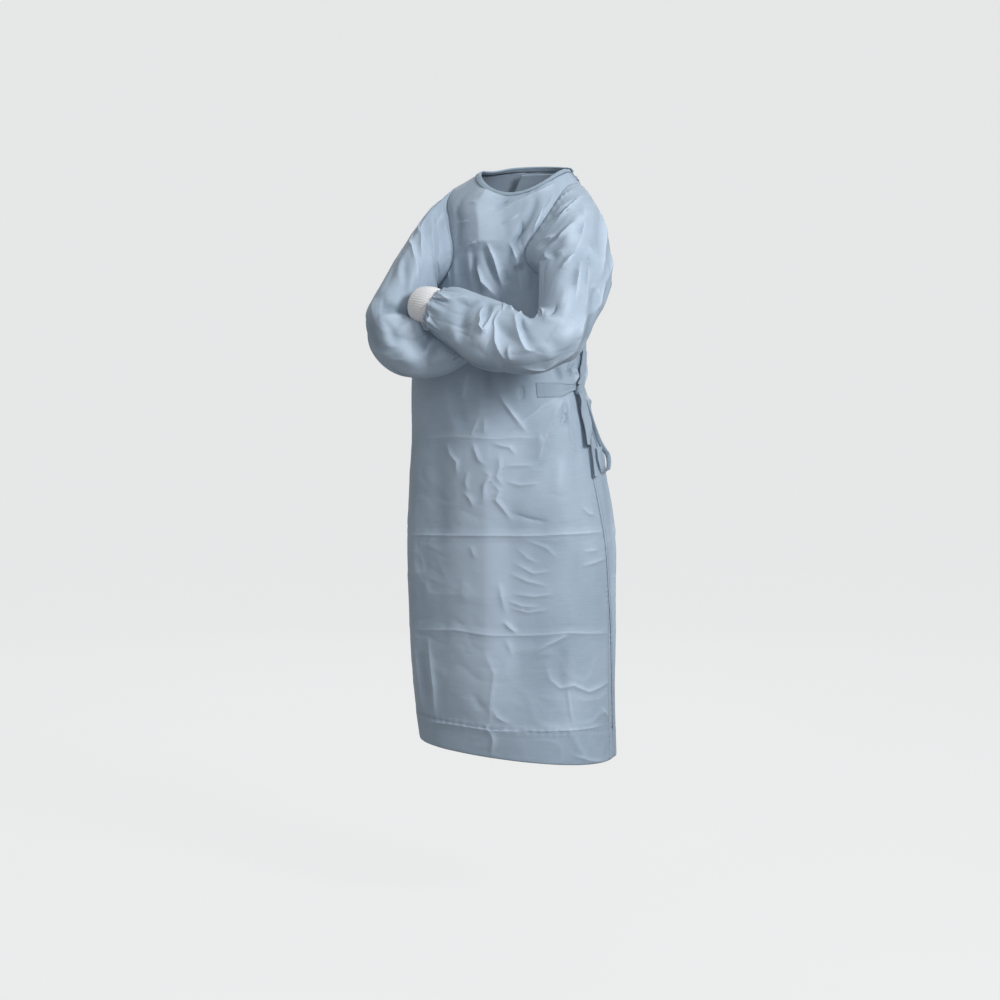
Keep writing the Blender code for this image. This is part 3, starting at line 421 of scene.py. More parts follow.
backFolds = (
    ("tent", 46, 5, 0, ((180, -0.12), (181, -0.34), (179, -0.6), (181, -0.88), (180, -1.18))),
    ("line", 2.4, 3.2, 0, ((86, -0.731), (121, -0.738), (180, -0.735), (232, -0.742), (266, -0.738))),
    ("line", 2.2, 2.6, 0, ((95, -0.934), (140, -0.938), (188, -0.932), (236, -0.94), (267, -0.937))),
    ("line", 2.2, 2.4, 0, ((84, -0.541), (118, -0.543), (170, -0.538), (214, -0.543), (264, -0.54))),
    ("line", 2.2, 1.8, 0, ((146, -0.339), (180, -0.342), (216, -0.338), (252, -0.34))),
    ("bell", 18, 5, 0, ((241, -0.4), (244, -0.62), (240, -0.86), (245, -1.08))),
    ("bell", 17, 4.6, 0, ((147, -0.52), (149, -0.7), (146, -0.9), (150, -1.1))),
    ("bell", 16, 5, 0, ((96, -0.56), (100, -0.7), (98, -0.86), (103, -1.02))),
    ("bell", 15, -4.6, 0, ((208, -0.48), (206, -0.68), (210, -0.9), (208, -1.12))),
    ("bell", 14, -4.6, 0, ((110, -0.6), (114, -0.76), (112, -0.96), (116, -1.13))),
    ("bell", 13, -3.6, 0, ((256, -0.52), (258, -0.76), (255, -1))),
    ("pinch", 8, 6, 0.3, ((83, -0.474), (90, -0.512), (99, -0.56), (107, -0.622))),
    ("pinch", 7, 6.5, 0.3, ((82, -0.436), (96, -0.424), (114, -0.398), (134, -0.372))),
    ("pinch", 7, 6, 0.2, ((83, -0.456), (97, -0.466), (116, -0.474), (141, -0.488))),
    ("pinch", 7, 5.2, 0.2, ((246, -0.24), (232, -0.282), (214, -0.316), (197, -0.338))),
    ("pinch", 6, 5, 0, ((238, -0.176), (222, -0.208), (204, -0.232), (186, -0.246))),
    ("pinch", 6, 4.2, 0, ((224, -0.1), (204, -0.128), (184, -0.14)),
     ((154, -0.236), (166, -0.284), (182, -0.324))),
    ("pinch", 6, -4.4, 0, ((240, -0.206), (222, -0.242), (203, -0.27))),
    ("pinch", 6, -4.6, 0, ((83, -0.466), (94, -0.488), (108, -0.512), (124, -0.546))),
    ("pinch", 6, -5, 0, ((84, -0.446), (99, -0.444), (118, -0.432), (140, -0.424))),
    ("pinch", 5, 3.6, 0, ((152, -0.15), (168, -0.178), (184, -0.19))),
    ("pinch", 5, 3.4, 0, ((100, -0.404), (118, -0.366), (132, -0.33))),
    ("pinch", 5, 3.2, 0, ((258, -0.34), (248, -0.4), (236, -0.44))),
    ("pinch", 5, 3, 0, ((126, -0.398), (152, -0.388), (174, -0.392))),
    ("pinch", 5, -3, 0, ((108, -0.45), (134, -0.446), (158, -0.452)),
     ((262, -0.38), (254, -0.44), (246, -0.5))),
    ("pinch", 5, -3.4, 0, ((150, -0.188), (166, -0.222), (178, -0.262))),
    ("pinch", 5, -3.6, 0, ((252, -0.28), (240, -0.33), (226, -0.372))),
    ("pinch", 4, 3, 0, ((184, -0.65), (196, -0.676), (220, -0.69)),
     ((186, -0.962), (204, -0.99), (230, -0.996))),
    ("pinch", 4, 2.8, 0, ((214, -0.566), (226, -0.596), (230, -0.64)),
     ((196, -0.78), (222, -0.79), (240, -0.812)), ((206, -0.85), (214, -0.888), (236, -0.902))),
    ("pinch", 4, 2.6, 0, ((168, -0.56), (184, -0.59), (198, -0.604)),
     ((156, -0.752), (172, -0.776), (176, -0.812)), ((128, -0.96), (148, -0.984), (150, -1.02)),
     ((160, -1.04), (182, -1.062), (204, -1.058))),
    ("pinch", 4, 2.4, 0, ((122, -0.6), (138, -0.626), (160, -0.632)),
     ((120, -0.8), (142, -0.812), (160, -0.846)), ((224, -1.05), (244, -1.082), (258, -1.09))),
)
underFolds = (
    ("bell", 12, -3, 0, ((112, -0.06), (124, -0.11), (134, -0.15))),
    ("pinch", 6, 4, 0, ((98, -0.268), (101, -0.31), (96, -0.352))),
    ("pinch", 5, 3.4, 0, ((126, -0.13), (132, -0.17), (130, -0.215))),
    ("pinch", 5, -3, 0, ((118, -0.215), (112, -0.262), (104, -0.3))),
)
leftFolds = (
    ("bell", 27, -11, 0, ((320, 0.56), (316, 0.68), (320, 0.8), (326, 0.9), (334, 1))),
    ("bell", 16, 6, 0, ((30, 0.378), (6, 0.347), (4, 0.305))),
    ("bell", 14, 6, 0, ((43, 0.147), (48, 0.243), (39, 0.328))),
    ("bell", 12, 6, 0, ((20, -0.57), (43, -0.367), (58, -0.114))),
    ("bell", 12, 5.2, 0, ((20, 0.707), (14, 0.625))),
    ("bell", 12, 4.5, 0, ((30, 0.842), (-4, 0.764)), ((280, -0.6), (275, -0.2), (290, 0.2))),
    ("bell", 12, 4, 0, ((18, 0.363), (-3, 0.371), (-17, 0.386)), ((150, -0.6), (160, -0.2), (150, 0.2))),
    ("bell", 11, 4, 0, ((200, 0.62), (190, 0.76), (205, 0.9))),
    ("bell", 11, -9, 0, ((344, 0.245), (330, 0.28), (311, 0.309), (304, 0.345))),
    ("bell", 10, 4.5, 0, ((350, -0.747), (360, -0.506), (367, -0.354), (372, -0.253))),
    ("bell", 10, -4, 0, ((-4, -0.671), (6, -0.418), (17, -0.215), (30, -0.127)),
     ((13, -0.506), (35, -0.316))),
    ("bell", 10, -4.7, 0, ((345, -0.684), (359, -0.316), (367, 0.012))),
    ("bell", 10, -5.9, 0.3, ((94, -0.43), (70, -0.43), (49, -0.506))),
    ("bell", 9, 3.2, 0, ((122, 0.251), (58, 0.367), (35, 0.344), (16, 0.309), (5, 0.274))),
    ("bell", 9, -2.9, 0, ((22, -0.759), (39, -0.734), (57, -0.81), (69, -0.924))),
    ("bell", 9, -3.5, 0, ((80, 0.915), (72, 0.83), (92, 0.795))),
    ("bell", 9, -3.6, 0, ((325, 0.023), (324, 0.081), (321, 0.189)),
     ((32, -0.114), (39, 0.027), (41, 0.124), (41, 0.174))),
    ("bell", 9, -4.9, 0, ((352, 0.12), (349, 0.17), (342, 0.228))),
    ("bell", 9, -5.9, 0, ((96, 0.764), (70, 0.726), (50, 0.695)), ((74, 0.529), (38, 0.486), (9, 0.463))),
    ("bell", 8, 5, 0, ((14, 0.429), (-6, 0.421), (-28, 0.417))),
    ("bell", 8, -2.6, 0, ((58, -0.418), (74, -0.418), (86, -0.557))),
    ("bell", 8, -3.2, 0, ((65, 0.05), (62, 0.023), (57, -0.013), (35, -0.101))),
    ("bell", 8, -3.5, 0, ((54, -0.772), (30, -0.734)), ((82, -0.253), (78, 0.039))),
    ("bell", 6, 2.3, 0, ((2, 0.124), (-9, 0.097))),
    ("pinch", 9, 7.2, 0, ((343, -0.671), (339, -0.405), (351, -0.063), (349, 0.058))),
    ("pinch", 8, 7.2, 0, ((58, -0.671), (17, -0.734), (1, -0.797)),
     ((84, -0.329), (62, -0.329), (37, -0.481))),
    ("pinch", 7, 10.8, 0.4, ((79, 0.564), (35, 0.498), (6, 0.475), (-1, 0.452))),
    ("pinch", 7, 7.2, 0, ((79, 0.653), (51, 0.637), (19, 0.598), (-20, 0.529))),
    ("pinch", 7, 5.5, 0, ((5, -0.684), (17, -0.443), (34, -0.203), (46, -0.03))),
    ("pinch", 6, 10.8, 0, ((84, 0.761), (54, 0.726), (39, 0.695), (32, 0.664), (50, 0.672), (75, 0.687))),
    ("pinch", 6, 7.2, 0, ((63, 0.077), (51, 0.027), (39, -0.076))),
    ("pinch", 6, 6.3, 0, ((66, -0.987), (49, -0.962), (8, -0.886)),
     ((82, 0.996), (69, 0.915), (93, 0.853))),
    ("pinch", 6, 5.5, 0, ((300, 0.3), (270, 0.36), (235, 0.38))),
    ("pinch", 6, 5.4, 0, ((34, 0), (31, 0.139), (28, 0.228)), ((9, 0.529), (-21, 0.514))),
    ("pinch", 6, 5, 0, ((319, -0.278), (317, -0.152), (328, -0.013)),
     ((9, -0.987), (26, -1), (42, -0.987), (56, -0.987)), ((358, 0.266), (356, 0.301), (344, 0.336)),
     ((200, -0.5), (215, -0.1), (205, 0.25))),
    ("pinch", 6, 4.5, 0, ((6, 0.297), (-38, 0.355), (-43, 0.405)), ((160, 0.3), (150, 0.5), (165, 0.7))),
    ("pinch", 6, 3, 0, ((91, -0.291), (95, -0.138), (90, -0.03))),
    ("pinch", 6, -4, 0, ((19, -0.114), (21, 0.054), (20, 0.143))),
    ("pinch", 6, -5, 0, ((235, -0.4), (228, 0), (240, 0.3)), ((305, 0.36), (275, 0.42), (240, 0.46))),
    ("pinch", 5, 4.5, 0, ((347, 0.1), (329, 0.193)), ((30, 0.981), (-18, 0.942)),
     ((322, 0.486), (308, 0.436), (326, 0.402)), ((20, 0.008), (12, 0.127), (0, 0.247)),
     ((334, 0.039), (334, 0.154), (333, 0.216)), ((250, 0.5), (220, 0.56), (180, 0.6))),
    ("pinch", 5, 4, 0, ((16, -0.785), (36, -0.785), (54, -0.861)),
     ((54, -0.468), (70, -0.468), (81, -0.608)), ((280, 0.7), (260, 0.8), (270, 0.92))),
    ("pinch", 5, -4, 0, ((300, 0.55), (262, 0.6), (228, 0.66)), ((310, 0.62), (300, 0.74), (318, 0.86))),
    ("pinch", 5, -4.5, 0, ((64, 0.355), (64, 0.274))),
    ("pinch", 4, 5.4, 0, ((106, 0.687), (82, 0.633)), ((103, 0.625), (88, 0.587)),
     ((88, 0.552), (86, 0.544)), ((123, 0.224), (88, 0.417)), ((113, 0.239), (76, 0.371))),
)
rightFolds = (
    ("tent", 20, 4, 0, ((50, 0.316), (14, 0.33), (-20, 0.35))),
    ("bell", 24, -9.5, 0, ((26, 0.372), (-2, 0.404), (-8, 0.438), (-18, 0.48))),
    ("bell", 22, 17, 0, ((150, 0.33), (118, 0.42), (94, 0.5), (70, 0.585), (48, 0.68))),
    ("bell", 16, 9, 0, ((118, 0.5), (97, 0.575), (80, 0.635))),
    ("bell", 14, 4.5, 0, ((49, 0.502), (10, 0.575), (-21, 0.625))),
    ("bell", 12, 4.5, 0, ((170, -0.6), (178, -0.2), (170, 0.1)), ((300, -0.7), (292, -0.3), (300, 0.15))),
    ("bell", 12, 4, 0, ((40, 0.375), (43, 0.432), (24, 0.483), (7, 0.548))),
    ("bell", 12, -3.8, 0, ((18, 0.502), (-1, 0.548))),
    ("bell", 11, 4, 0, ((220, 0.62), (210, 0.76), (224, 0.9))),
    ("bell", 10, 5, 0, ((36, 0.371), (58, 0.386), (93, 0.378))),
    ("bell", 10, 4, 0, ((354, 0.653), (362, 0.707), (370, 0.776))),
    ("bell", 10, -4.5, 0, ((46, -0.013), (59, 0.073), (77, 0.162), (92, 0.224), (103, 0.251))),
    ("bell", 10, -6.5, 0, ((11, 0.34), (49, 0.344), (90, 0.332), (120, 0.313), (161, 0.27))),
    ("bell", 9, 4.5, 0, ((42, 0.012), (57, 0.104), (78, 0.189))),
    ("bell", 9, 4, 0, ((14, -0.481), (23, -0.43), (54, -0.392))),
    ("bell", 9, -3.5, 0, ((52, 0.398), (50, 0.459), (22, 0.517))),
    ("bell", 9, -4.2, 0, ((64, 0.452), (96, 0.432), (139, 0.309))),
    ("bell", 9, -4.5, 0, ((69, -0.709), (85, -0.582), (106, -0.418), (152, -0.494))),
    ("bell", 8, 2.6, 0, ((59, 0.479), (82, 0.483), (151, 0.309))),
    ("bell", 8, -2.3, 0, ((69, -0.785), (67, -0.911), (62, -0.962))),
    ("bell", 8, -3.2, 0, ((16, 0.625), (45, 0.653), (64, 0.714))),
    ("bell", 8, -3.9, 0, ((16, 0.68), (29, 0.71), (38, 0.749))),
    ("bell", 6, -2.6, 0, ((342, 0.768), (353, 0.815))),
    ("pinch", 8, 7, 0, ((11, -0.304), (52, -0.177), (75, 0), (92, 0.069), (105, 0.112))),
    ("pinch", 7, 7.5, 0, ((63, -0.671), (76, -0.57), (91, -0.456), (113, -0.278), (155, 0.004))),
    ("pinch", 7, 5.5, 0, ((35, -0.519), (59, -0.38), (78, -0.177), (95, 0.008))),
    ("pinch", 6, 6, 0, ((8, 0.625), (27, 0.656), (43, 0.71), (46, 0.749))),
    ("pinch", 6, 5.5, 0, ((330, 0.28), (290, 0.33), (250, 0.34))),
    ("pinch", 6, 5, 0, ((215, -0.5), (224, -0.1), (214, 0.2)), ((330, -0.5), (336, -0.1), (328, 0.2))),
    ("pinch", 6, -5, 0, ((250, -0.5), (242, -0.1), (252, 0.25)), ((345, 0.36), (300, 0.41), (262, 0.43))),
    ("pinch", 5, 4.5, 0, ((280, 0.48), (248, 0.54), (215, 0.58))),
    ("pinch", 5, 4, 0, ((65, -0.696), (61, -0.835), (60, -0.937)), ((300, 0.7), (282, 0.8), (292, 0.92))),
    ("pinch", 5, -4, 0, ((330, 0.52), (300, 0.58), (270, 0.64)), ((180, 0.5), (168, 0.66), (180, 0.8))),
    ("pinch", 4, 4.5, 0, ((335, 0.78), (349, 0.822))),
    ("pinch", 4, 4, 0, ((352, 0.764), (357, 0.807)), ((328, 0.807), (334, 0.849))),
    ("pinch", 4, 3, 0, ((124, 0.112), (115, 0.197), (111, 0.228))),
)


def inSheet(folds, acrossScale, alongScale):      # one line a row, degrees and millimetres as metres
    return [(kind, width / 1000, depth / 1000, skew,
             [(a * acrossScale, b * alongScale) for a, b in line])
            for kind, width, depth, skew, *lines in folds for line in lines]


# body: the same rings as the solids
hemLevel, armpitLevel, shoulderLevel, yokeLevel = -1.190, -0.245, -0.022, -0.010
neckLevel, bindingLevel, waistLevel, hemTop = 0.020, 0.009, -0.442, -1.128
clothThick, seamGap, neckRadius = 0.0009, 0.0003, 0.089
ringColumns = ("level", "half", "front", "back", "mid", "tilt", "zFront", "zSide", "zBack")
bodyRings = (                 # where the last three are left out, they are the level
    (-1.190, 0.207, 0.140, 0.140, 0.010, 0.016, -1.190, -1.188, -1.188),
    (-1.080, 0.213, 0.140, 0.140, 0.002, 0.012),
    (-0.880, 0.218, 0.138, 0.138, -0.005, 0.005),
    (-0.740, 0.218, 0.136, 0.136, -0.008, 0.0),
    (-0.640, 0.210, 0.134, 0.132, -0.012, 0.0),
    (-0.545, 0.198, 0.130, 0.128, -0.018, 0.0),
    (-0.430, 0.182, 0.122, 0.120, -0.033, 0.0),
    (-0.370, 0.182, 0.114, 0.122, -0.031, 0.0),
    (-0.300, 0.172, 0.110, 0.128, -0.020, 0.0),
    (-0.235, 0.155, 0.112, 0.130, -0.001, 0.0),
    (-0.160, 0.153, 0.116, 0.130, 0.006, 0.0, -0.168, -0.150, -0.158),
    (-0.090, 0.150, 0.112, 0.122, 0.010, 0.0, -0.122, -0.080, -0.100),
    (-0.030, 0.136, 0.100, 0.106, 0.012, 0.0, -0.084, -0.032, -0.045),
    (-0.005, 0.110, 0.090, 0.092, 0.021, 0.0, -0.062, -0.013, -0.012),
    (0.020, 0.089, 0.080, 0.080, 0.029, 0.0, -0.046, 0.003, 0.013),
)
wholeRings = [ring + ring[:1] * (len(ringColumns) - len(ring)) for ring in bodyRings]
ringOf = dict(zip(ringColumns, np.array(wholeRings).T))
roundness, meanRadius = 0.10, 0.17
sheetOf = math.radians(1) * meanRadius     # one degree round the body as metres of sheet
frontFolds = inSheet(bodyFolds, sheetOf, 1)

mainFolds = (                 # the solids' own folds: angle, level, angle, level, width, depth
    (42, -0.50, 18, -0.74, 0.020, 0.0050),
    (66, -0.50, 44, -0.90, 0.020, -0.0045),
    (-48, -0.52, -52, -1.12, 0.024, 0.0050),
    (-30, -0.46, -26, -0.80, 0.020, -0.0035),
    (10, -0.62, 18, -1.14, 0.024, -0.0040),
    (30, -0.08, -22, -0.22, 0.020, 0.0040),
    (24, -0.16, 8, -0.30, 0.018, -0.0040),
    (-10, -0.15, 0, -0.32, 0.018, 0.0055),
    (128, -0.50, 134, -1.12, 0.026, 0.0055),
    (158, -0.46, 168, -1.10, 0.026, -0.0050),
    (196, -0.36, 190, -1.12, 0.026, 0.0055),
    (226, -0.42, 236, -1.12, 0.026, -0.0045),
    (150, -0.24, 186, -0.42, 0.024, 0.0045),
    (212, -0.18, 196, -0.40, 0.024, -0.0040),
)


def bodyBase(angle, level):
    # x = mid + half s (1 + R c^2), y = -depth c (1 + R s^2), z = side + (end - side) c^2 - tilt s,
    # s and c being the angle's sine and cosine and R the roundness
    at = {name: smooth(ringOf["level"], ringOf[name], level) for name in ringColumns[1:]}
    s, c = np.sin(angle), np.cos(angle)
    depth = np.where(c > 0, at["front"], at["back"])
    zEnd = np.where(c > 0, at["zFront"], at["zBack"])
    x = at["mid"] + at["half"] * s * (1 + roundness * c * c)
    y = -depth * c * (1 + roundness * s * s)
    z = at["zSide"] + (zEnd - at["zSide"]) * c * c - at["tilt"] * s
    return np.stack(np.broadcast_arrays(x, y, z), axis=-1)


def bodyMainFolds(angle, level):          # the sum of those folds, read past the front as well
    total = np.zeros(np.broadcast(angle, level).shape)
    turned = np.mod(angle, 2 * math.pi)
    for first, low, last, high, width, depth in mainFolds:
        ends = math.radians(first), math.radians(last)
        wrap = (min(ends) < math.radians(60)) & (turned > math.radians(300))
        here = np.where(wrap, turned - 2 * math.pi, turned)
        total = total + mainCrease(here * meanRadius, level, ends[0] * meanRadius, low,
                                   ends[1] * meanRadius, high, width, depth)
    return total


def body(angle, level):       # the base moved out along its normal by its main folds
    out = normalsOf(bodyBase, angle, level)
    return bodyBase(angle, level) + out * bodyMainFolds(angle, level)[..., None]


def bodyNormal(angle, level):
    return normalsOf(body, angle, level)


underarmForward = math.radians(24)
armholeFront = {"left": math.radians(52), "right": math.radians(39)}
armholeBack = math.radians(50)


def sideAngle(level):         # where a side seam runs, swung forward at the underarm
    forward = step(waistLevel, armpitLevel, level) * (1 - step(armpitLevel, shoulderLevel, level))
    return math.pi / 2 - underarmForward * forward


def armholeEdge(turn, width):         # how far it swings aside and its level, pointed at the underarm
    middle, half = (armpitLevel + shoulderLevel) / 2, (shoulderLevel - armpitLevel) / 2
    turn = turn - 0.25 * np.sin(2 * turn) / 2
    height = (1 - np.cos(turn)) / 2
    swing = width * np.maximum(np.sin(turn), 0) ** (1 - 0.5 * height)
    point = 0.5 * (1 - height)
    return swing, middle - half * ((1 - point) * np.cos(turn) + point * (1 - 2 * turn / math.pi))


rowCounts = {"skirt": 276, "waist": 60, "armhole": 90, "yoke": 14}


def bodyRows(top):            # level far from the armhole, level at its edge, turn round it
    skirt = np.linspace(hemLevel, armpitLevel, rowCounts["skirt"] + rowCounts["waist"] + 1)
    turns = np.linspace(0, math.pi, rowCounts["armhole"] + 1)[1:]
    beside = np.linspace(armpitLevel, yokeLevel, rowCounts["armhole"] + 1)[1:]
    yoke = np.linspace(shoulderLevel, top, rowCounts["yoke"] + 1)[1:]
    far = np.concatenate([skirt, beside, np.linspace(yokeLevel, top, rowCounts["yoke"] + 1)[1:]])
    near = np.concatenate([skirt, armholeEdge(turns, 0.0)[1], yoke])
    return far, near, np.concatenate([0 * skirt, turns, 0 * yoke])


flapEdgeTable = np.array((    # level and degrees of the over layer's free edge
    (-1.190, 100), (-0.900, 92), (-0.740, 82), (-0.620, 76), (-0.500, 78), (-0.442, 82),
    (-0.380, 88), (-0.330, 98), (-0.285, 125), (-0.250, 142), (-0.200, 148), (-0.090, 147),
    (-0.050, 140), (-0.020, 124), (0.020, 108)))


def flapEdge(level):
    return np.radians(smooth(flapEdgeTable[:, 0], flapEdgeTable[:, 1], level))


overlap = {"sinks": 0.006, "stands off": 0.0016, "fuller": 0.0029, "back starts": math.radians(206),
           "back ends": math.radians(246), "leaves front": (math.radians(86), math.radians(98))}


def underSink(raised, angles, levels, side):      # the under layer drops below the flap that covers it
    covered = step(0.0, math.radians(14), angles - flapEdge(levels))
    return raised - covered * (overlap["sinks"] + bodyMainFolds(angles, levels))


def frontRise(angles, levels):            # how far the front panel stands off its plain form
    x = angles * meanRadius
    return foldField(x, levels, frontFolds) + crumple(x, levels, frontPanel["seed"], frontPanel["crumple"])


def flapLift(raised, angles, levels, side):
    # over the front panel it follows that panel's folds, and it stands a little off at its edge
    flush = np.minimum(overlap["back ends"], side - math.radians(3))
    past = angles - flapEdge(levels)
    over = 1 - step(*overlap["leaves front"], angles)
    own = raised * step(0, math.radians(8), past) * (1 - over)
    lift = overlap["stands off"] + overlap["fuller"] * step(0, math.radians(10), past)
    return own + over * frontRise(angles, levels) + lift * (1 - step(overlap["back starts"], flush, angles))


def arcs(points):             # distance along each row and up each column of a grid
    across = np.linalg.norm(np.diff(points, axis=1), axis=-1).cumsum(axis=1)
    upward = np.linalg.norm(np.diff(points, axis=0), axis=-1).cumsum(axis=0)
    return np.pad(across, ((0, 0), (1, 0))), np.pad(upward, ((1, 0), (0, 0)))


seam = {"groove": 0.0001, "groove width": 0.0024, "pucker": 0.0013, "pucker length": 0.0125,
        "pucker reach": 0.010, "flat over": 0.012, "tucked": 0.0014, "sunk": 0.0004}


def sewnEdge(away, along, seed):
    # -groove exp(-(d / its width)^2), with puckers that fade away from the seam and stand unevenly
    wander = along + 0.006 * valueNoise(along, 0 * along, 0.030, seed)
    puckers = np.cos(2 * math.pi * wander / seam["pucker length"]) \
        * valueNoise(along, 0 * along, 0.050, seed + 1)
    return seam["pucker"] * puckers * np.exp(-away / seam["pucker reach"]) * (1 - bell(away, 0.0035)) \
        - seam["groove"] * bell(away, seam["groove width"])


hem = {"band": 0.0006, "groove": 0.0010, "groove width": 0.0028, "ripple": 0.0007, "ripple length": 0.014,
       "ripple width": 0.007, "edge": 0.0006, "edge width": 0.003, "shaded": 0.0022}


def hemBand(x, levels):       # the turned-up hem: a doubled band below a sewn groove
    line = hemTop + 0.004 * np.sin(x * 9) + 0.002 * valueNoise(x, 0 * x, 0.08, 5)
    wander = x + 0.004 * valueNoise(x, 0 * x, 0.03, 6)
    ripple = hem["ripple"] * np.cos(2 * math.pi * wander / hem["ripple length"])
    return hem["band"] * step(0, 0.003, line - levels) \
        - hem["groove"] * bell(levels - line, hem["groove width"]) \
        + ripple * bell(levels - line, hem["ripple width"]) \
        - hem["edge"] * bell(levels - hemLevel, hem["edge width"])


def makePanel(piece, rows, edges, draws, folds, material, lift=None, sewn=(True, True)):
    # a grid from edge to edge, drawn in round the armholes, moved out by its folds and seams
    far, near, turns = rows
    share = np.linspace(0, 1, piece["columns"] + 1)
    share = (share - 0.20 * np.sin(2 * math.pi * share) / (2 * math.pi))[None, :]
    reach = 2 if draws[0].any() and draws[1].any() else 1
    pull0, pull1 = np.clip(1 - reach * share, 0, 1), np.clip(1 - reach * (1 - share), 0, 1)
    angles = edges[0][:, None] * (1 - share) + edges[1][:, None] * share \
        + draws[0][:, None] * pull0 - draws[1][:, None] * pull1
    close = np.maximum(pull0 * draws[0].any(), pull1 * draws[1].any()) ** 2.5
    levels = far[:, None] + (near - far)[:, None] * close
    out = bodyNormal(angles, levels)
    flat = body(angles, levels)
    across, upward = arcs(flat)
    fromLast = across[:, -1:] - across
    x = angles * meanRadius
    raised = foldField(x, levels, folds) + crumple(x, levels, piece["seed"], piece["crumple"])
    inward = step(0, seam["flat over"], across) * step(0, seam["flat over"], fromLast)
    raised = raised * (0.25 + 0.75 * inward)
    for k, away in enumerate((across, fromLast)):
        if sewn[k]:
            raised = raised + sewnEdge(away, upward, piece["seed"] + 20 + k)
    raised = raised + hemBand(x, levels)
    # the rise mark paints shade into the colour: fold tops lighter, hollows darker, the hem band below its
    # groove darker
    rise = raised - hem["shaded"] * (levels < hemTop)
    if lift is not None:
        raised = lift(raised, angles, levels, (edges[1] - draws[1])[:, None])
    outer = flat + out * raised[..., None]
    for k, (end, beside) in enumerate(((0, 1), (-1, -2))):
        tucked = sewn[k] * ((turns > 0) | piece.get("lies under", False))
        past = unit(outer[:, end] - outer[:, beside]) * seam["tucked"] - out[:, end] * seam["sunk"]
        outer[:, end] += past * tucked[:, None]
    marks = creaseField(x, levels, folds + piece.get("also creased", []))
    thing = makeShell(piece["name"], outer, np.stack([x, levels], axis=-1), clothThick, material,
                      marks={"rise": rise, **marks})
    finish(thing, piece["stands for"])
    return {"points": outer, "out": out, "angles": angles}


# shader tools: a source is another node's output, or a plain value
def newGroup(name, inputs, outputs):
    tree = bpy.data.node_groups.new(name, "ShaderNodeTree")
    for label, kind, value in inputs:
        socket = tree.interface.new_socket(label, in_out="INPUT", socket_type="NodeSocket" + kind)
        if value is not None:
            socket.default_value = value
    for label in outputs:
        tree.interface.new_socket(label, in_out="OUTPUT", socket_type="NodeSocketFloat")
    return tree, tree.nodes.new("NodeGroupInput").outputs, tree.nodes.new("NodeGroupOutput").inputs


def feed(tree, source, target):
    if isinstance(source, (int, float, tuple)):
        target.default_value = source
    else:
        tree.links.new(source, target)


def maths(tree, operation, *values):
    node = tree.nodes.new("ShaderNodeMath")
    node.operation = operation
    for value, socket in zip(values, node.inputs):
        feed(tree, value, socket)
    return node.outputs[0]


def times(tree, *values):
    total = values[0]
    for value in values[1:]:
        total = maths(tree, "MULTIPLY", total, value)
    return total


def weighted(tree, *terms):               # the sum of value * weight over (value, weight) pairs
    total = times(tree, *terms[0])
    for term in terms[1:]:
        total = maths(tree, "ADD", total, times(tree, *term))
    return total


def centred(tree, value):                 # a value about one half made one about nought
    return maths(tree, "SUBTRACT", value, 0.5)


def apart(tree, vector):                  # the first two parts of a vector
    node = tree.nodes.new("ShaderNodeSeparateXYZ")
    feed(tree, vector, node.inputs[0])
    return node.outputs[0], node.outputs[1]


def stretched(tree, vector, scale):
    node = tree.nodes.new("ShaderNodeMapping")
    feed(tree, vector, node.inputs["Vector"])
    node.inputs["Scale"].default_value = scale
    return node.outputs[0]


def noise(tree, vector, scale, detail=2.0, kind="FBM", roughness=0.5):
    node = tree.nodes.new("ShaderNodeTexNoise")
    node.noise_type = kind
    feed(tree, vector, node.inputs["Vector"])
    node.inputs["Scale"].default_value = scale
    node.inputs["Detail"].default_value = detail
    node.inputs["Roughness"].default_value = roughness
    return node.outputs[0]


def range01(tree, value, low, high, toLow=0.0, toHigh=1.0):
    node = tree.nodes.new("ShaderNodeMapRange")
    for k, number in enumerate((value, low, high, toLow, toHigh)):
        feed(tree, number, node.inputs[k])
    return node.outputs[0]


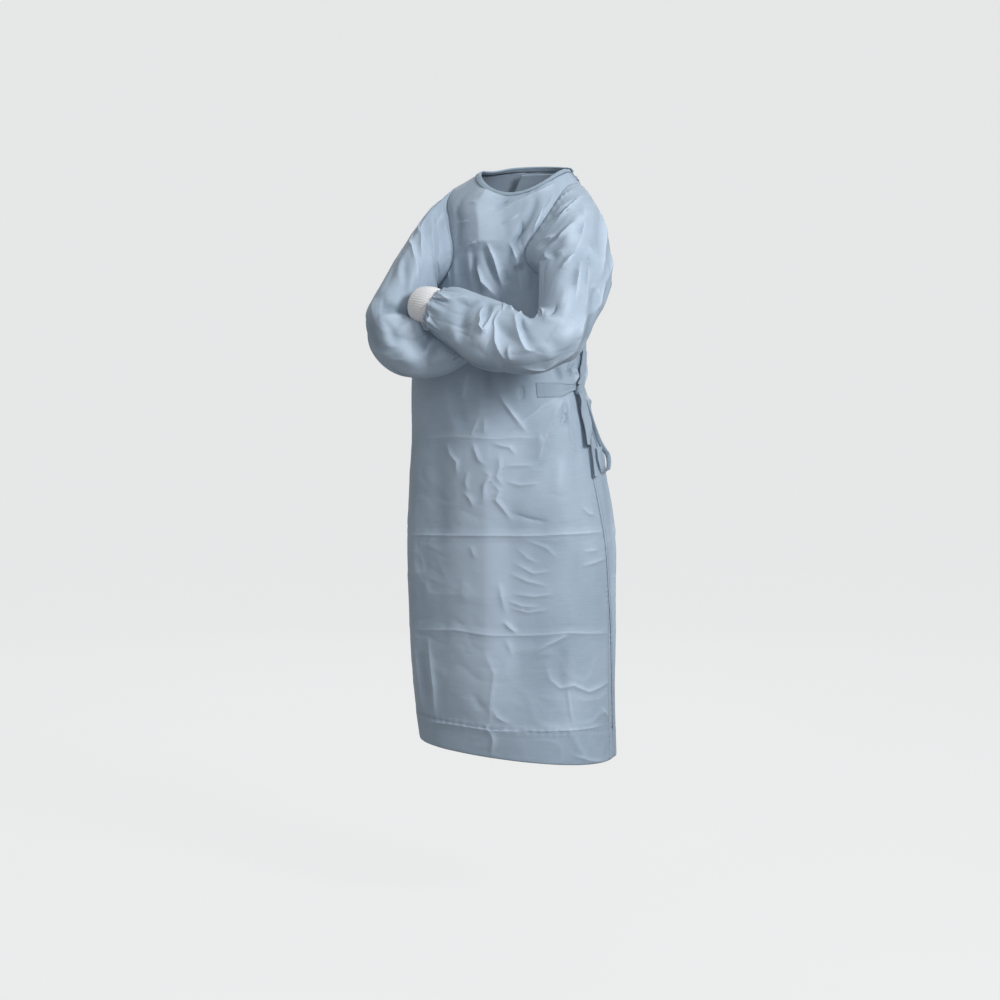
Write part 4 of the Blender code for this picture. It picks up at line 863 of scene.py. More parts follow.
def clothFaceGroup():
    # shade = blotches + fibre lines + painted light and shade from how far a fold stands up,
    # tops lighter and hollows darker; height = fibres drawn out sideways + a fine net of creases +
    # the bonding dots sin(a) sin(b) on a slanted grid + the pressed creases, tall * exp(-away / 1.5 mm),
    # which also paint a highlight along each ridge crease and shade along each valley crease
    tree, given, out = newGroup("clothFace", (("Sheet", "Vector", None), ("Rise", "Float", 0.5),
                                              ("Fibres", "Float", 1.0), ("Crumple", "Float", 1.0),
                                              ("Away", "Float", 1.0), ("Tall", "Float", 0.0)),
                                ("Shade", "Roughness", "Height"))
    sheet, dotPitch, pressedFall = given["Sheet"], 0.0028, -6.5
    lines = noise(tree, stretched(tree, sheet, (26, 620, 1)), 1.0, 3.0, roughness=0.65)
    strands = noise(tree, stretched(tree, sheet, (340, 160, 1)), 1.0, 2.0)
    blotch = noise(tree, sheet, 7.0, 3.0)
    net = noise(tree, sheet, 26.0, 3.0, "RIDGED_MULTIFRACTAL", 0.55)
    small = noise(tree, sheet, 70.0, 2.0)
    x, y = apart(tree, sheet)
    waves = [maths(tree, "SINE", times(tree, slant, 2 * math.pi / dotPitch))
             for slant in (maths(tree, "ADD", x, y), maths(tree, "SUBTRACT", x, y))]
    dots = times(tree, *waves)
    fibres = times(tree, centred(tree, lines), given["Fibres"])
    fall = maths(tree, "EXPONENT", times(tree, maths(tree, "ABSOLUTE", given["Away"]), pressedFall))
    # pressed creases: relief in the height, and in the colour a painted highlight along ridges and painted
    # shade along valleys
    pressed = times(tree, fall, given["Tall"])
    # painted light and shade: fold tops and ridge creases lighter, hollows and valley creases darker
    shade = weighted(tree, (range01(tree, blotch, 0.3, 0.7, 0.36, 0.64), 1.0), (fibres, 0.55),
                     (centred(tree, given["Rise"]), 1.1), (centred(tree, strands), 0.20), (pressed, 0.7))
    creases = weighted(tree, (net, 0.50), (small, 0.35))
    height = weighted(tree, (fibres, 0.16), (strands, 0.03), (dots, 0.020), (pressed, 2.6),
                      (creases, given["Crumple"]))
    feed(tree, shade, out["Shade"])
    feed(tree, range01(tree, blotch, 0.3, 0.7, 0.52, 0.66), out["Roughness"])
    feed(tree, height, out["Height"])
    return tree


def wovenGroup():
    # height = |sin| weft bars across the sheet, their phase shifted by half a bar in turn by a
    # square wave of warp threads; shade = the same bars made faint
    tree, given, out = newGroup("plainWeave", (("Sheet", "Vector", None), ("Pitch", "Float", 0.0010)),
                                ("Shade", "Height"))
    x, y = apart(tree, given["Sheet"])
    turnX, turnY = (maths(tree, "DIVIDE", times(tree, k, math.pi), given["Pitch"]) for k in (x, y))
    warp = maths(tree, "SINE", turnX)
    shift = times(tree, maths(tree, "SIGN", warp), math.pi / 4)
    weft = maths(tree, "ABSOLUTE", maths(tree, "SINE", maths(tree, "ADD", turnY, shift)))
    both = times(tree, weft, maths(tree, "ABSOLUTE", warp))
    feed(tree, both, out["Height"])
    feed(tree, range01(tree, both, 0.0, 1.0, 0.42, 0.58), out["Shade"])
    return tree


cuff = {"ribs": 46, "columns": 276, "rows": 36, "wall": 0.0016, "rib height": 0.0011, "girth": 0.2,
        "tucked": 0.002, "knit row": 0.0017, "knit slant": 0.0024}


def knitGroup():
    # height = sin(v / row + |u / wale - its nearest whole|), so each rib carries small Vs, and fuzz;
    # shade = the rib relief as painted shade, rib tops lighter and grooves darker, with the Vs faint
    tree, given, out = newGroup("ribKnit", (("Sheet", "Vector", None), ("Rise", "Float", 0.5)),
                                ("Shade", "Height"))
    x, y = apart(tree, given["Sheet"])
    wale = maths(tree, "PINGPONG", x, cuff["girth"] / cuff["ribs"] / 2)
    phase = weighted(tree, (y, 2 * math.pi / cuff["knit row"]), (wale, 2 * math.pi / cuff["knit slant"]))
    loops = maths(tree, "SINE", phase)
    fuzz = noise(tree, given["Sheet"], 900.0, 2.0)
    feed(tree, weighted(tree, (loops, 0.30), (fuzz, 0.35)), out["Height"])
    # painted shade: rib tops lighter, grooves between ribs darker
    feed(tree, weighted(tree, (centred(tree, given["Rise"]), 1.6),
                        (range01(tree, loops, -1.0, 1.0, 0.40, 0.56), 1.0)), out["Shade"])
    return tree


def placed(tree, group, given, **own):    # a group in a material, each input fed by its name
    node = tree.nodes.new("ShaderNodeGroup")
    node.node_tree = group
    for socket in node.inputs:
        feed(tree, own[socket.name] if socket.name in own else given[socket.name], socket)
    return node.outputs


clothFace, plainWeave, ribKnit = clothFaceGroup(), wovenGroup(), knitGroup()
weavePitch = 0.0011


def clothLook(tree, given, fibres, crumpled, woven):
    # shade, roughness and height of one cloth, with a share of plain weave mixed in
    face = placed(tree, clothFace, given, Fibres=fibres, Crumple=crumpled)
    if not woven:
        return face["Shade"], face["Roughness"], face["Height"]
    weave = placed(tree, plainWeave, given, Pitch=weavePitch)
    return (maths(tree, "ADD", face["Shade"], centred(tree, weave["Shade"])), face["Roughness"],
            weighted(tree, (face["Height"], 1.0), (weave["Height"], woven)))


def knitLook(tree, given):
    knit = placed(tree, ribKnit, given)
    return knit["Shade"], 0.85, knit["Height"]


def finishOf(name, dark, light, bump, sockets, look, *amounts):
    # base colour = a mix of dark and light by the look's shade, which carries painted light and shade on
    # folds and ribs as well as the cloth's own tone, with its roughness and relief
    material = bpy.data.materials.new(name)
    material.use_nodes = True
    tree = material.node_tree
    shader = tree.nodes["Principled BSDF"]
    for label, value in sockets.items():
        shader.inputs[label].default_value = value
    uv = tree.nodes.new("ShaderNodeUVMap")
    uv.uv_map = "sheet"
    given = {"Sheet": uv.outputs[0]}
    # the rise mark, with the crease marks, paints light and shade into the colour
    for label, attribute in (("Rise", "rise"), ("Away", "creaseAway"), ("Tall", "creaseTall")):
        mark = tree.nodes.new("ShaderNodeAttribute")
        mark.attribute_name = attribute
        given[label] = mark.outputs["Fac"]
    shade, rough, height = look(tree, given, *amounts)
    mix = tree.nodes.new("ShaderNodeMix")
    mix.data_type = "RGBA"
    feed(tree, shade, mix.inputs["Factor"])
    mixA, mixB = [k for k in mix.inputs if k.type == "RGBA"]
    mixA.default_value = (*dark, 1.0)
    mixB.default_value = (*light, 1.0)
    tree.links.new([k for k in mix.outputs if k.type == "RGBA"][0], shader.inputs["Base Color"])
    feed(tree, rough, shader.inputs["Roughness"])
    relief = tree.nodes.new("ShaderNodeBump")
    relief.inputs["Strength"].default_value = bump
    relief.inputs["Distance"].default_value = 0.001
    feed(tree, height, relief.inputs["Height"])
    tree.links.new(relief.outputs[0], shader.inputs["Normal"])
    return material


softCloth = {"Specular IOR Level": 0.30, "Sheen Weight": 0.12, "Sheen Roughness": 0.45}
softKnit = {"Specular IOR Level": 0.25, "Sheen Weight": 0.2}
tapeDark, tapeLight = (0.25, 0.33, 0.41), (0.42, 0.52, 0.62)
clothMaterial = finishOf("gown_cloth", (0.225, 0.296, 0.374), (0.398, 0.487, 0.592), 0.75, softCloth,
                         clothLook, 1.0, 1.0, 0.0)
bindingMaterial = finishOf("neck_binding", (0.20, 0.275, 0.35), (0.36, 0.455, 0.555), 0.8, softCloth,
                           clothLook, 0.6, 0.4, 0.30)
tapeMaterial = finishOf("tie_tape", tapeDark, tapeLight, 0.8, softCloth, clothLook, 0.6, 0.5, 0.45)
threadMaterial = finishOf("sewing_thread", tapeDark, tapeLight, 0.6, softCloth, clothLook, 0.5, 0.0, 0.6)
# the knit runs from darker to lighter mostly as painted shade in rib grooves and painted light on rib tops
knitMaterial = finishOf("cuff_knit", (0.62, 0.64, 0.67), (0.90, 0.91, 0.92), 0.7, softKnit, knitLook)

# the three panels of the body
frontPanel = {"name": "front_cloth", "stands for": ["front_panel"], "columns": 190,
              "seed": 11, "crumple": 0.0020, "lies under": True}
backLeft = {"name": "back_left_cloth", "stands for": ["back_left_panel"], "columns": 80,
            "seed": 31, "crumple": 0.0010}
backRight = {"name": "back_right_cloth", "stands for": ["back_right_panel"], "columns": 180,
             "seed": 51, "crumple": 0.0020, "also creased": frontFolds}

rows = bodyRows(bindingLevel - seamGap)
side, none = sideAngle(rows[1]), np.zeros_like(rows[0])
draw = {k: armholeEdge(rows[2], armholeFront[k])[0] * (rows[2] > 0) for k in ("left", "right")}
drawBack = armholeEdge(rows[2], armholeBack)[0] * (rows[2] > 0)
halfGap = seamGap / 2 / neckRadius
front = makePanel(frontPanel, rows, (halfGap - side, side - halfGap), (draw["right"], draw["left"]),
                  frontFolds, clothMaterial)
under = makePanel(backLeft, rows, (side + halfGap, none + math.radians(200)), (drawBack, none),
                  inSheet(underFolds, sheetOf, 1), clothMaterial, underSink, sewn=(True, False))
flap = makePanel(backRight, rows, (flapEdge(rows[0]), 2 * math.pi - side - halfGap), (none, drawBack),
                 inSheet(backFolds, sheetOf, 1), clothMaterial, flapLift)
print("panels made")

# sleeves: a route of straight runs and arcs, its rings (along, outer, crook and depth radii), and
# the solids' own folds (degrees, along, degrees, along, width, depth)
sleeves = {
    "left": {
        "name": "sleeve_left_cloth", "stands for": ["sleeve_left"], "hand": 1,
        "columns": 236, "cap": 60, "tube": 262, "folds": leftFolds, "seed": 71,
        "crumple": 0.0034, "wider end": 0.0058, "armhole": armholeFront["left"],
        "route": ((0.184, -0.137, -0.217), (0.197, -0.252, -0.366), (0.060, -0.250, -0.338),
                  (-0.068, -0.236, -0.277)),
        "radii": (0.062, 0.150),
        "side upper": (0.305, -0.750, 0.587), "side wrist": (0.05, -0.97, 0.24),
        "cuff end": (-0.114, -0.220, -0.270),
        "rings": ((0.00, 0.070, 0.070, 0.060), (0.12, 0.063, 0.060, 0.058),
                  (0.25, 0.056, 0.053, 0.057), (0.38, 0.055, 0.051, 0.055),
                  (0.50, 0.060, 0.053, 0.053), (0.58, 0.067, 0.060, 0.052),
                  (0.67, 0.073, 0.071, 0.050), (0.82, 0.064, 0.064, 0.040),
                  (0.92, 0.052, 0.052, 0.035), (1.00, 0.033, 0.033, 0.030)),
        "main folds": ((60, 0.45, 115, 0.69, 0.014, 0.0060), (10, 0.47, 80, 0.76, 0.014, -0.0060),
                       (95, 0.67, 30, 0.78, 0.013, 0.0060), (70, 0.85, 10, 0.74, 0.013, -0.0050),
                       (300, -0.10, 325, 0.24, 0.018, 0.0080), (255, -0.05, 275, 0.25, 0.015, -0.0050),
                       (40, -0.05, 75, 0.20, 0.015, 0.0050)),
    },
    "right": {
        "name": "sleeve_right_cloth", "stands for": ["sleeve_right"], "hand": -1,
        "columns": 208, "cap": 60, "tube": 222, "folds": rightFolds, "seed": 91,
        "crumple": 0.0034, "wider end": 0.0010, "armhole": armholeFront["right"],
        "route": ((-0.162, -0.134, -0.212), (-0.192, -0.262, -0.372), (-0.085, -0.200, -0.366),
                  (0.002, -0.158, -0.318)),
        "radii": (0.058, 0.100),
        "side upper": (-0.04, -0.796, 0.604), "side wrist": (-0.05, -0.97, 0.24),
        "cuff end": (0.042, -0.150, -0.296),
        "rings": ((0.00, 0.041, 0.046, 0.058), (0.20, 0.045, 0.047, 0.057),
                  (0.29, 0.049, 0.046, 0.056), (0.45, 0.050, 0.045, 0.050),
                  (0.56, 0.053, 0.046, 0.044), (0.65, 0.056, 0.048, 0.038),
                  (0.82, 0.048, 0.048, 0.031), (0.93, 0.040, 0.040, 0.029),
                  (1.00, 0.031, 0.031, 0.027)),
        "main folds": ((80, 0.37, 20, 0.29, 0.014, -0.0050), (80, 0.00, 95, 0.24, 0.014, 0.0050),
                       (30, 0.45, 70, 0.71, 0.015, -0.0050), (350, 0.47, 50, 0.84, 0.016, 0.0060),
                       (250, -0.08, 280, 0.27, 0.016, 0.0055), (20, -0.08, 40, 0.23, 0.014, -0.0045)),
    },
}
sleeveGirth, topTurn, capDepth = 0.36, math.radians(45), 0.10
pleatTall, pleatCount = 0.0022, 9          # the solids' own shallow pleats at the wrist
crumpleDrawn, edgeDrawn = 2.1, 1.4         # crumples are longer along, and the sewn edge than the girth


def roundedRoute(points, radii, count=400):
    # straight runs joined by arcs, centre + radius (cos t, sin t), read again at even steps
    points = [np.array(p) for p in points]
    pieces, start = [], points[0]
    for before, corner, after, radius in zip(points, points[1:], points[2:], radii):
        into, away = unit(corner - before), unit(after - corner)
        turn = math.acos(float(np.clip(into @ away, -1, 1)))
        reach = radius * math.tan(turn / 2)
        first = corner - into * reach
        centre = corner + unit(away - into) * (radius / math.cos(turn / 2))
        pieces.append(np.linspace(start, first, 60)[:-1])
        t = np.linspace(0, turn, 60)[:, None]
        pieces.append((centre + radius * (unit(first - centre) * np.cos(t) + into * np.sin(t)))[:-1])
        start = corner + away * reach
    pieces.append(np.linspace(start, points[-1], 60))
    line = np.concatenate(pieces)
    lengths = distances(line)
    return readAt(np.linspace(0, lengths[-1], count), lengths, line), lengths[-1]


for spec in sleeves.values():
    spec["line"], spec["length"] = roundedRoute(spec["route"], spec["radii"])
    spec["tangents"] = unit(np.gradient(spec["line"], axis=0))
    spec["ringTable"] = np.array(spec["rings"]).T


def sleeveFrame(spec, along):  # middle, direction, and the ring's tall and deep axes
    place = np.clip(along, 0, 1) * (len(spec["line"]) - 1)
    index = np.arange(len(spec["line"]))
    ahead = unit(readAt(place, index, spec["tangents"]))
    blend = step(0.40, 1.0, along)[..., None]
    upper, wrist = unit(np.array(spec["side upper"])), unit(np.array(spec["side wrist"]))
    deep = squareTo((1 - blend) * upper + blend * wrist, ahead)
    return readAt(place, index, spec["line"]), ahead, spec["hand"] * np.cross(deep, ahead), deep


def sleeveMainFolds(spec, turn, along):   # the solids' folds and shallow pleats
    rise = np.zeros(np.broadcast(turn, along).shape)
    degrees = np.mod(turn, 1.0) * 360
    for first, low, last, high, width, depth in spec["main folds"]:
        here = degrees
        if abs(first - last) > 180:
            first, here = first - 360, np.where(degrees > 180, degrees - 360, degrees)
        rise = rise + mainCrease(here / 360 * sleeveGirth, along * spec["length"],
                                 first / 360 * sleeveGirth, low * spec["length"],
                                 last / 360 * sleeveGirth, high * spec["length"], width, depth)
    return rise + pleatTall * np.cos(2 * math.pi * pleatCount * turn) * step(0.86, 0.96, along)


def sleeveRing(spec, turn, along):         # middle + tall a cos + deep b sin, its two halves unlike
    middle, ahead, tall, deep = sleeveFrame(spec, along)
    table = spec["ringTable"]
    outer, crook, depth = (smooth(table[0], table[k], along) for k in (1, 2, 3))
    angle = topTurn + 2 * math.pi * turn
    cos, sin = np.cos(angle), np.sin(angle)
    a = np.where(cos > 0, outer, crook)
    out = unit(tall * (cos / a)[..., None] + deep * (sin / depth)[..., None])
    return middle + tall * (a * cos)[..., None] + deep * (depth * sin)[..., None] \
        + out * sleeveMainFolds(spec, turn, along)[..., None]


def sleeveArmhole(spec, turn):            # the panels' own armhole edge, read round the sleeve
    inFront = turn <= 0.5
    edge = np.where(inFront, math.pi * (1 - 2 * turn), math.pi * (2 * turn - 1))
    width = np.where(inFront, -spec["armhole"], armholeBack)
    sideways, level = armholeEdge(np.clip(edge, 1e-6, math.pi - 1e-6), width)
    angle = spec["hand"] * (sideAngle(level) + sideways)
    return body(angle, level), bodyNormal(angle, level)


def sleeveSurface(spec, turn, along):
    # from the armhole to the first ring a Hermite cap, then the tube along the route
    turn, along = np.broadcast_arrays(np.asarray(turn, float), np.asarray(along, float))
    t = np.clip(along + 1, 0, 1)[..., None]
    start, bodyOut = sleeveArmhole(spec, np.mod(turn, 1.0))
    zero = np.zeros_like(along)
    end = sleeveRing(spec, turn, zero)
    ahead = sleeveFrame(spec, zero)[1]
    chord = np.linalg.norm(end - start, axis=-1, keepdims=True)
    lift = (0.35 + 0.65 * (0.5 - 0.5 * np.cos(2 * math.pi * turn)))[..., None]
    leave = chord * unit((end - start) / chord + lift * bodyOut)
    arrive = chord * unit((end - start) / chord + ahead)
    cap = hermite(t, start, end, leave, arrive)
    return np.where((along < 0)[..., None], cap, sleeveRing(spec, turn, along))


gather = {"pleats": 24, "tall": 0.0020, "uneven": 0.0007, "reach": 0.055, "sewn line": 0.007,
          "groove": 0.0008}


def gathers(turn, along, length):
    # pinched pleats, 1 - 2 |cos|, unevenly set and growing towards the end; a sewn line crosses
    # them just before it, and the edge beyond that line frills
    left = (1 - along) * length
    uneven = turn + 0.010 * np.sin(2 * math.pi * 3 * turn + 1) + 0.006 * np.sin(2 * math.pi * 7 * turn)
    pleats = 1 - 2 * np.abs(np.cos(math.pi * gather["pleats"] * uneven))
    tall = gather["tall"] + gather["uneven"] * np.sin(2 * math.pi * 5 * turn + 2)
    past = left - gather["sewn line"]
    fade = step(gather["reach"], 0.004, left) * (1 - 0.75 * bell(past, 0.0030))
    return np.where(along > 0, tall * pleats * fade - gather["groove"] * bell(past, 0.0025), 0)


def makeSleeve(spec):
    # rows over the cap and down the tube, moved out by the folds, the sewn edge and the gathers
    turns, alongs = np.meshgrid(np.arange(spec["columns"]) / spec["columns"],
                                np.concatenate([np.linspace(-1, 0, spec["cap"] + 1)[:-1],
                                                np.linspace(0, 1, spec["tube"] + 1)]))
    base = sleeveSurface(spec, turns, alongs)
    out = gridNormals(base, closed=True) * spec["hand"]
    x, y = turns * sleeveGirth, alongs * spec["length"]
    folds = [(*fold, [(a + k * sleeveGirth, b) for a, b in line])
             for *fold, line in inSheet(spec["folds"], sleeveGirth / 360, spec["length"])
             for k in (-1, 0, 1)]
    marks = creaseField(x, y, folds)
    rise = foldField(x, y, folds) + crumple(x, y / crumpleDrawn, spec["seed"], spec["crumple"], sleeveGirth)
    fromTop = (alongs + 1) * capDepth
    rise = rise * (0.2 + 0.8 * step(0, 0.016, fromTop)) \
        + sewnEdge(fromTop, x * edgeDrawn, spec["seed"] + 20)
    rise = rise + gathers(turns, alongs, spec["length"])
    outer = base + out * (rise + spec["wider end"] * step(0.80, 0.97, alongs))[..., None]
    if spec["hand"] < 0:      # mirrored turning, so columns run the other way to face outward
        outer, x, rise = outer[:, ::-1], x[:, ::-1], rise[:, ::-1]
        marks = {label: values[:, ::-1] for label, values in marks.items()}
    # the rise and crease marks paint light and shade into the colour: fold tops lighter, hollows darker
    finish(makeShell(spec["name"], outer, np.stack([x, y], axis=-1), clothThick, clothMaterial,
                     closed=True, marks={"rise": rise, **marks}), spec["stands for"])
    return outer


for spec in sleeves.values():
    spec["points"] = makeSleeve(spec)
print("sleeves made")


def makeCuff(sideName):
    # a bent ribbed tube: line + tall (a swell + rib) cos + deep (b swell + rib) sin, a and b being
    # the sleeve's last ring, with a softly rolled end
    spec = sleeves[sideName]
    middle, ahead, tall, deep = (v[0] for v in sleeveFrame(spec, np.array([1.0])))
    goal = np.array(spec["cuff end"])
    length = float(np.linalg.norm(goal - middle))
    start = middle - ahead * cuff["tucked"]
    away = unit(goal - start)
    share = np.linspace(0, 1, cuff["rows"] + 1)[:, None]
    line = hermite(share, start, goal, ahead * length, away * length)
    along = unit(ahead * (1 - share) + away * share)
    tallAt, deepAt = squareTo(tall, along), squareTo(deep, along)
    turn = (np.arange(cuff["columns"]) / cuff["columns"] * 2 * math.pi)[None, :]
    swell = (0.965 + 5 * spec["wider end"]) * (1 - 0.03 * step(0.9, 1.0, share)) \
        + (0.03 + 18 * spec["wider end"]) * np.sin(math.pi * share) ** 0.7
    swell = swell + 0.025 * np.sin(2 * turn + 1 + 2.5 * share) * share \
        + 0.012 * np.sin(5 * turn + 3 * share) * np.sin(math.pi * share)
    ribs = np.abs(np.cos(turn * cuff["ribs"] / 2 + 0.25 * np.sin(5 * share))) ** 0.7
    ends = 0.35 + 0.65 * step(0, 0.12, share) * step(0, 0.06, 1 - share)
    radial = cuff["rib height"] * (ribs - 0.7) * ends
    a, b = (spec["rings"][-1][k] * swell + radial for k in (1, 3))
    points = line[:, None, :] + (np.cos(turn) * a)[..., None] * tallAt[:, None, :] \
        + (np.sin(turn) * b)[..., None] * deepAt[:, None, :]
    if spec["hand"] < 0:
        points = points[:, ::-1]
    uv = np.stack(np.broadcast_arrays(turn / (2 * math.pi) * cuff["girth"], share * length), axis=-1)
    # the rib relief, four times over, is the mark for the knit's painted shade: rib tops lighter, grooves
    # darker
    finish(makeShell("cuff_" + sideName + "_knit", points, uv, cuff["wall"], knitMaterial, closed=True,
                     marks={"rise": radial * 4}, coarse=2), ["cuff_" + sideName])


for sideName in sleeves:
    makeCuff(sideName)
print("cuffs made")

# neck binding: a rounded strip round the neck, lifted over the flap that it also binds
binding = {"wall": 0.003, "base": 0.0006, "roundness": 0.0011, "lift": 0.0045, "rows": 9, "columns": 240,
           "gap": math.radians(4), "lift starts": math.radians(110), "girth radius": 0.09,
           "seed": 15, "crumple": 0.0006}
first = flap["angles"][-1, 0]
angles, levels = np.meshgrid(np.linspace(first, first + 2 * math.pi - binding["gap"], binding["columns"]),
                             np.linspace(bindingLevel, neckLevel, binding["rows"]))
lifted = 1 - step(overlap["back starts"], overlap["back ends"], angles)
raised = binding["base"] + binding["lift"] * lifted * (angles > binding["lift starts"]) \
    + binding["roundness"] * np.sin(math.pi * np.linspace(0.04, 0.96, binding["rows"]))[:, None] \
    + crumple(angles * binding["girth radius"], levels, binding["seed"], binding["crumple"])
bindingPoints = body(angles, levels) + bodyNormal(angles, levels) * raised[..., None]
uv = np.stack([angles * binding["girth radius"], levels], axis=-1)
finish(makeShell("neck_binding_strip", bindingPoints, uv, binding["wall"], bindingMaterial),
       ["neck_binding"])

# ties and neck tab: rows of angle, level and lift over the body
ties = {
    "tie_flap": {"width": 0.011, "twist": 0.0, "route": (
        (90, -0.345, 0.0066), (88, -0.385, 0.0068), (84, -0.415, 0.0085), (80, -0.4345, 0.0115))},
    "tie_tail_long": {"width": 0.020, "twist": 0.0, "route": (
        (79.5, -0.452, 0.0120), (78.5, -0.478, 0.0150), (77, -0.505, 0.0135), (75, -0.532, 0.0125),
        (73.5, -0.557, 0.0130))},
    "tie_tail_short": {"width": 0.011, "twist": 0.0, "route": (
        (81.5, -0.458, 0.0120), (79.5, -0.510, 0.0105), (77.5, -0.565, 0.0110), (76, -0.620, 0.0110))},
    "tie_loop": {"width": 0.010, "twist": 1.30, "route": (
        (83.0, -0.470, 0.0130), (84.0, -0.512, 0.0140), (86.0, -0.545, 0.0150), (89.5, -0.567, 0.0165),
        (93.5, -0.580, 0.0180), (93.5, -0.596, 0.0185), (89.5, -0.612, 0.0180), (84.5, -0.606, 0.0165),
        (83.0, -0.584, 0.0150), (84.0, -0.562, 0.0140))},
    "neck_tab": {"width": 0.012, "twist": 0.0, "route": (
        (106, -0.006, 0.0022), (112, -0.009, 0.0028), (119, -0.012, 0.0042), (125, -0.0135, 0.0050))},
}
tape = {"wall": 0.0009, "wave": 0.0016, "free lift": 0.012, "turning": 0.40, "cup": 0.10,
        "crumple": 0.0010, "seed": 200, "sheet length": 0.12}


def tapeOnBody(tie, seed, count=90, across=10):
    # middle + sideways * width share + out * cup, along a line over the body; the strip twists a
    # little and waves where it hangs free
    table = np.array(tie["route"], float)
    place = np.linspace(0, len(table) - 1, count)
    angle, level, lift = (smooth(np.arange(len(table)), table[:, k], place) for k in range(3))
    angle = np.radians(angle)
    share = np.linspace(0, 1, count)
    out = bodyNormal(angle, level)
    under = frontRise(angle, level) * (1 - step(*overlap["leaves front"], angle))
    wave = tape["wave"] * np.sin(2 * math.pi * (1.6 * share + 0.17 * seed)) * step(0, 0.25, share) \
        * np.minimum(1, lift / tape["free lift"]) ** 2
    middle = body(angle, level) + out * (lift + np.maximum(under, 0) + wave)[:, None]
    ahead = unit(np.gradient(middle, axis=0))
    sideways = unit(np.cross(ahead, out))
    out = unit(np.cross(sideways, ahead))
    turning = tape["turning"] * np.sin(2 * math.pi * (0.9 * share + 0.31 * seed))
    turn = tie["twist"] + turning * step(0, 0.3, share)
    turned = unit(sideways * np.cos(turn)[:, None] + out * np.sin(turn)[:, None])
    away = unit(np.cross(turned, ahead))
    sides = np.linspace(-0.5, 0.5, across + 1)
    cup = tape["cup"] * tie["width"] * (1 - 4 * sides ** 2) * math.sin(1.3 * seed + 1)
    x, y = np.meshgrid(sides * tie["width"], share * tape["sheet length"])
    relief = crumple(x, y, tape["seed"] + seed, tape["crumple"]) + cup[None, :]
    return middle[:, None, :] + turned[:, None, :] * (sides * tie["width"])[None, :, None] \
        + away[:, None, :] * relief[..., None], np.stack([x, y], axis=-1)


for seed, (name, tie) in enumerate(ties.items()):
    points, uv = tapeOnBody(tie, seed)
    finish(makeShell(name + "_tape", points, uv, tape["wall"], tapeMaterial), [name])

# the stitched-on tie follows the front's own folds and narrows where it runs into the knot
sewnTie = {"width": 0.030, "wall": 0.0006, "lift": 0.0009, "knot lift": 0.0045, "pleats": 0.0012,
           "narrower": 0.55, "from": 40, "to": 77.5, "narrows": (58, 77)}
angles, share = np.meshgrid(np.radians(np.linspace(sewnTie["from"], sewnTie["to"], 90)),
                            np.linspace(-0.5, 0.5, 15))
toKnot = step(*np.radians(sewnTie["narrows"]), angles)
levels = waistLevel - 0.001 + 0.004 * toKnot \
    + share * sewnTie["width"] * (1 - sewnTie["narrower"] * toKnot)
lift = frontRise(angles, levels) + sewnTie["lift"] + sewnTie["knot lift"] * toKnot ** 2 \
    + sewnTie["pleats"] * np.sin(2 * math.pi * (2.5 * share + 0.1)) * toKnot
patch = body(angles, levels) + bodyNormal(angles, levels) * lift[..., None]
uv = np.stack([angles * meanRadius, levels], axis=-1)
finish(makeShell("tie_front_tape", patch, uv, sewnTie["wall"], tapeMaterial), ["tie_front"])

# the knot: a rounded core, creased along slanted turns, with one turn of tape standing round it
knot = {"angle": 78.5, "level": waistLevel - 0.005, "lift": 0.0105, "half": (0.0068, 0.0072, 0.0098),
        "hollows": 0.10, "turn": 0.20, "wall": 0.0008}
knotAngle, knotLevel = np.radians([knot["angle"]]), np.array([knot["level"]])
place = body(knotAngle, knotLevel)[0] + bodyNormal(knotAngle, knotLevel)[0] * knot["lift"]
u, v = np.meshgrid(np.linspace(0, 2 * math.pi, 96, endpoint=False),
                   np.linspace(0.002, math.pi - 0.002, 60))
onTurn = step(0.42, 0.34, np.abs(np.cos(v) + 0.35 * np.cos(u - 0.6)))
hollows = np.abs(np.sin(3.2 * np.cos(v) + 2 * u)) ** 0.6 * (1 - onTurn)
size = 1 - knot["hollows"] * hollows + knot["turn"] * onTurn
ball = np.stack([np.cos(u) * np.sin(v), np.sin(u) * np.sin(v), -np.cos(v)], axis=-1)
uv = np.stack([u * 0.01, v * 0.01], axis=-1)
finish(makeShell("tie_knot_tape", ball * np.array(knot["half"]) * size[..., None] + place, uv,
                 knot["wall"], tapeMaterial, closed=True), ["tie_knot"])
print("ties made")

# stitches along every seam
stitch = {"pitch": 0.0046, "long": 0.0033, "thick": 0.00042}
fineStitch = {"pitch": 0.0036, "long": 0.0026, "thick": 0.00036}


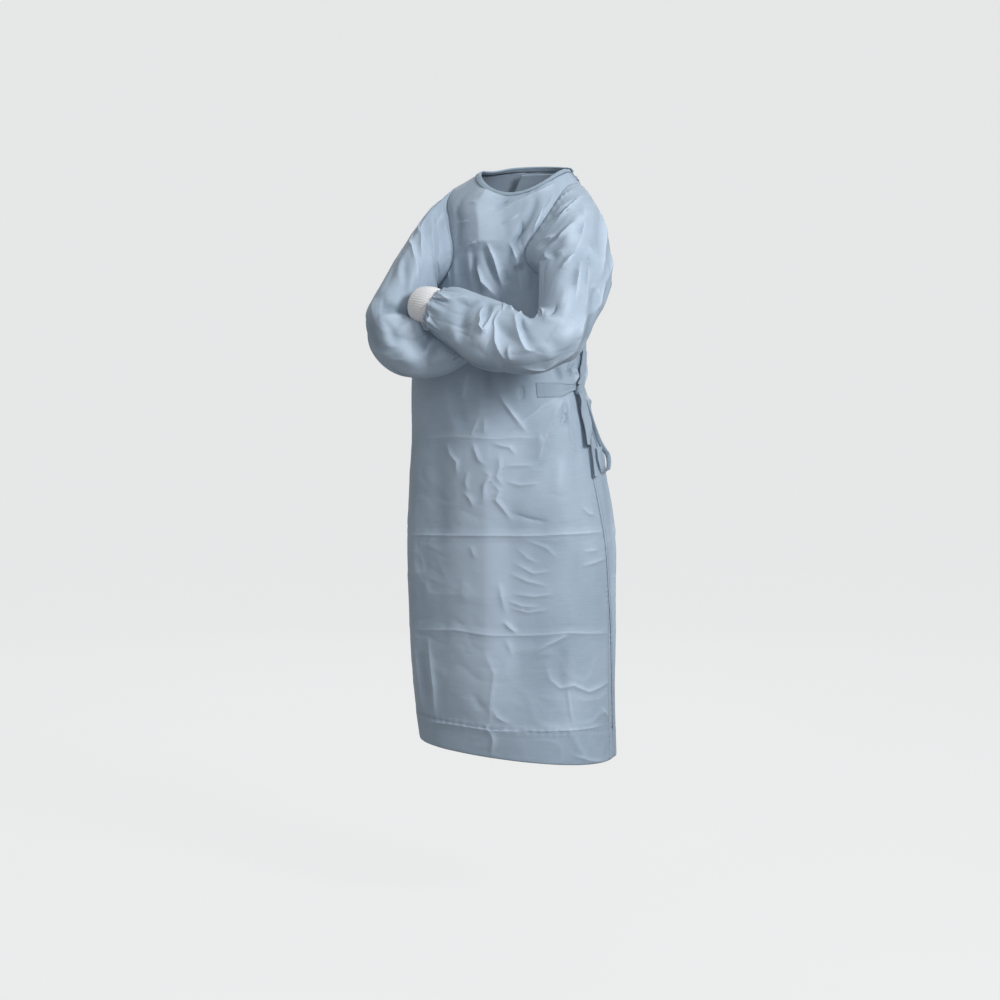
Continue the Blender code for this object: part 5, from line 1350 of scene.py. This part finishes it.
def stitchRow(path, out, pitch, long, thick):
    # small four-sided threads, one every pitch, thin and sunk at both of their ends
    lengths = distances(path)
    starts = np.arange(pitch / 2, lengths[-1] - long, pitch)
    at = starts[:, None] + np.array([0, 0.3, 0.7, 1.0]) * long
    middle, up = readAt(at, lengths, path), unit(readAt(at, lengths, out))
    ahead = unit(middle[:, -1:] - middle[:, :1]) + 0 * up
    aside = unit(np.cross(ahead, up))
    size = (np.array([0.35, 1.0, 1.0, 0.35]) * thick)[None, :, None, None]
    raised = (np.array([-0.2, 0.7, 0.7, -0.2]) * thick)[None, :, None]
    angle = np.arange(4) * math.pi / 2
    points = (middle + up * raised)[:, :, None, :] \
        + size * (aside[:, :, None, :] * np.cos(angle)[:, None] + up[:, :, None, :] * np.sin(angle)[:, None])
    ring = np.arange(4)
    after = np.roll(ring, -1)
    sides = [np.stack([ring + k, ring + k + 4, after + k + 4, after + k], axis=-1) for k in (0, 4, 8)]
    one = np.concatenate(sides + [ring[None, :], ring[None, ::-1] + 12])
    faces = one[None] + 16 * np.arange(len(starts))[:, None, None]
    uv = np.stack([at[:, :, None] + 0 * angle, 0 * at[:, :, None] + thick * np.cos(angle)], axis=-1)
    return points.reshape(-1, 3), faces.reshape(-1, 4), uv.reshape(-1, 2)


def joined(parts):            # several meshes as one, later faces counting on from earlier points
    counts = np.cumsum([0] + [len(p[0]) for p in parts])
    return np.concatenate([p[0] for p in parts]), \
        [p[1] + k for p, k in zip(parts, counts)], np.concatenate([p[2] for p in parts])


hemRow = int(np.argmin(np.abs(rows[0] - hemTop - 0.002)))
seams = [stitchRow(panel["points"][:, k], panel["out"][:, k], **stitch)
         for panel, columns in ((front, (2, -3)), (flap, (3, -3))) for k in columns]
seams += [stitchRow(panel["points"][hemRow], panel["out"][hemRow], **stitch)
          for panel in (front, flap, under)]
for spec in sleeves.values():
    ring = np.concatenate([spec["points"], spec["points"][:, :1]], axis=1)
    out = gridNormals(ring)
    seams += [stitchRow(ring[row], out[row], **stitch) for row in (3, -4)]
seams += [stitchRow(bindingPoints[1], gridNormals(bindingPoints)[1], **fineStitch)]
patchOut = gridNormals(patch)
seams += [stitchRow(patch[row], patchOut[row], **fineStitch) for row in (1, -2)]
seams += [stitchRow(patch[:, column], patchOut[:, column], **fineStitch) for column in (2, 14)]
stitches = makeMesh("seam_stitches", *joined(seams), threadMaterial)
finish(stitches, [])
print("stitches made,", len(stitches.data.polygons), "faces")

# floor: one bowl, so floor and backdrop meet without an edge
bowl = {"level": -1.53, "flat": 6.5, "bend": 2.5, "wall": (2.8, 7.0), "columns": 96}
bend = np.linspace(0.05, math.pi / 2, 16)
radii = np.concatenate([np.linspace(0.0001, bowl["flat"], 40), bowl["flat"] + bowl["bend"] * np.sin(bend),
                        np.full(6, bowl["flat"] + bowl["bend"])])
heights = bowl["level"] + np.concatenate([np.zeros(40), bowl["bend"] * (1 - np.cos(bend)),
                                          np.linspace(*bowl["wall"], 6)])
turn = np.arange(bowl["columns"]) / bowl["columns"] * 2 * math.pi
points = np.stack([radii[:, None] * np.cos(turn), radii[:, None] * np.sin(turn),
                   heights[:, None] + 0 * turn], axis=-1)
index = np.arange(radii.size * turn.size).reshape(-1, turn.size)
faces = gridFaces(np.concatenate([index, index[:, :1]], axis=1))
floorMaterial = bpy.data.materials.new("floor")
floorMaterial.use_nodes = True
tree = floorMaterial.node_tree
shader = tree.nodes["Principled BSDF"].inputs
shader["Roughness"].default_value = 0.9
shader["Specular IOR Level"].default_value = 0.1
place = tree.nodes.new("ShaderNodeTexCoord")
tone = range01(tree, noise(tree, place.outputs["Object"], 2.0), 0.3, 0.7, 0.060, 0.063)
grey = tree.nodes.new("ShaderNodeCombineColor")
for k in range(3):
    feed(tree, tone, grey.inputs[k])
feed(tree, grey.outputs[0], shader["Base Color"])
shader["Emission Color"].default_value = (0.985, 0.995, 1.0, 1.0)
seen = tree.nodes.new("ShaderNodeLightPath")
feed(tree, range01(tree, seen.outputs["Is Camera Ray"], 0.0, 1.0, 0.26, 0.775), shader["Emission Strength"])
floor = makeMesh("floor", points.reshape(-1, 3), [faces], points.reshape(-1, 3)[:, :2], floorMaterial)
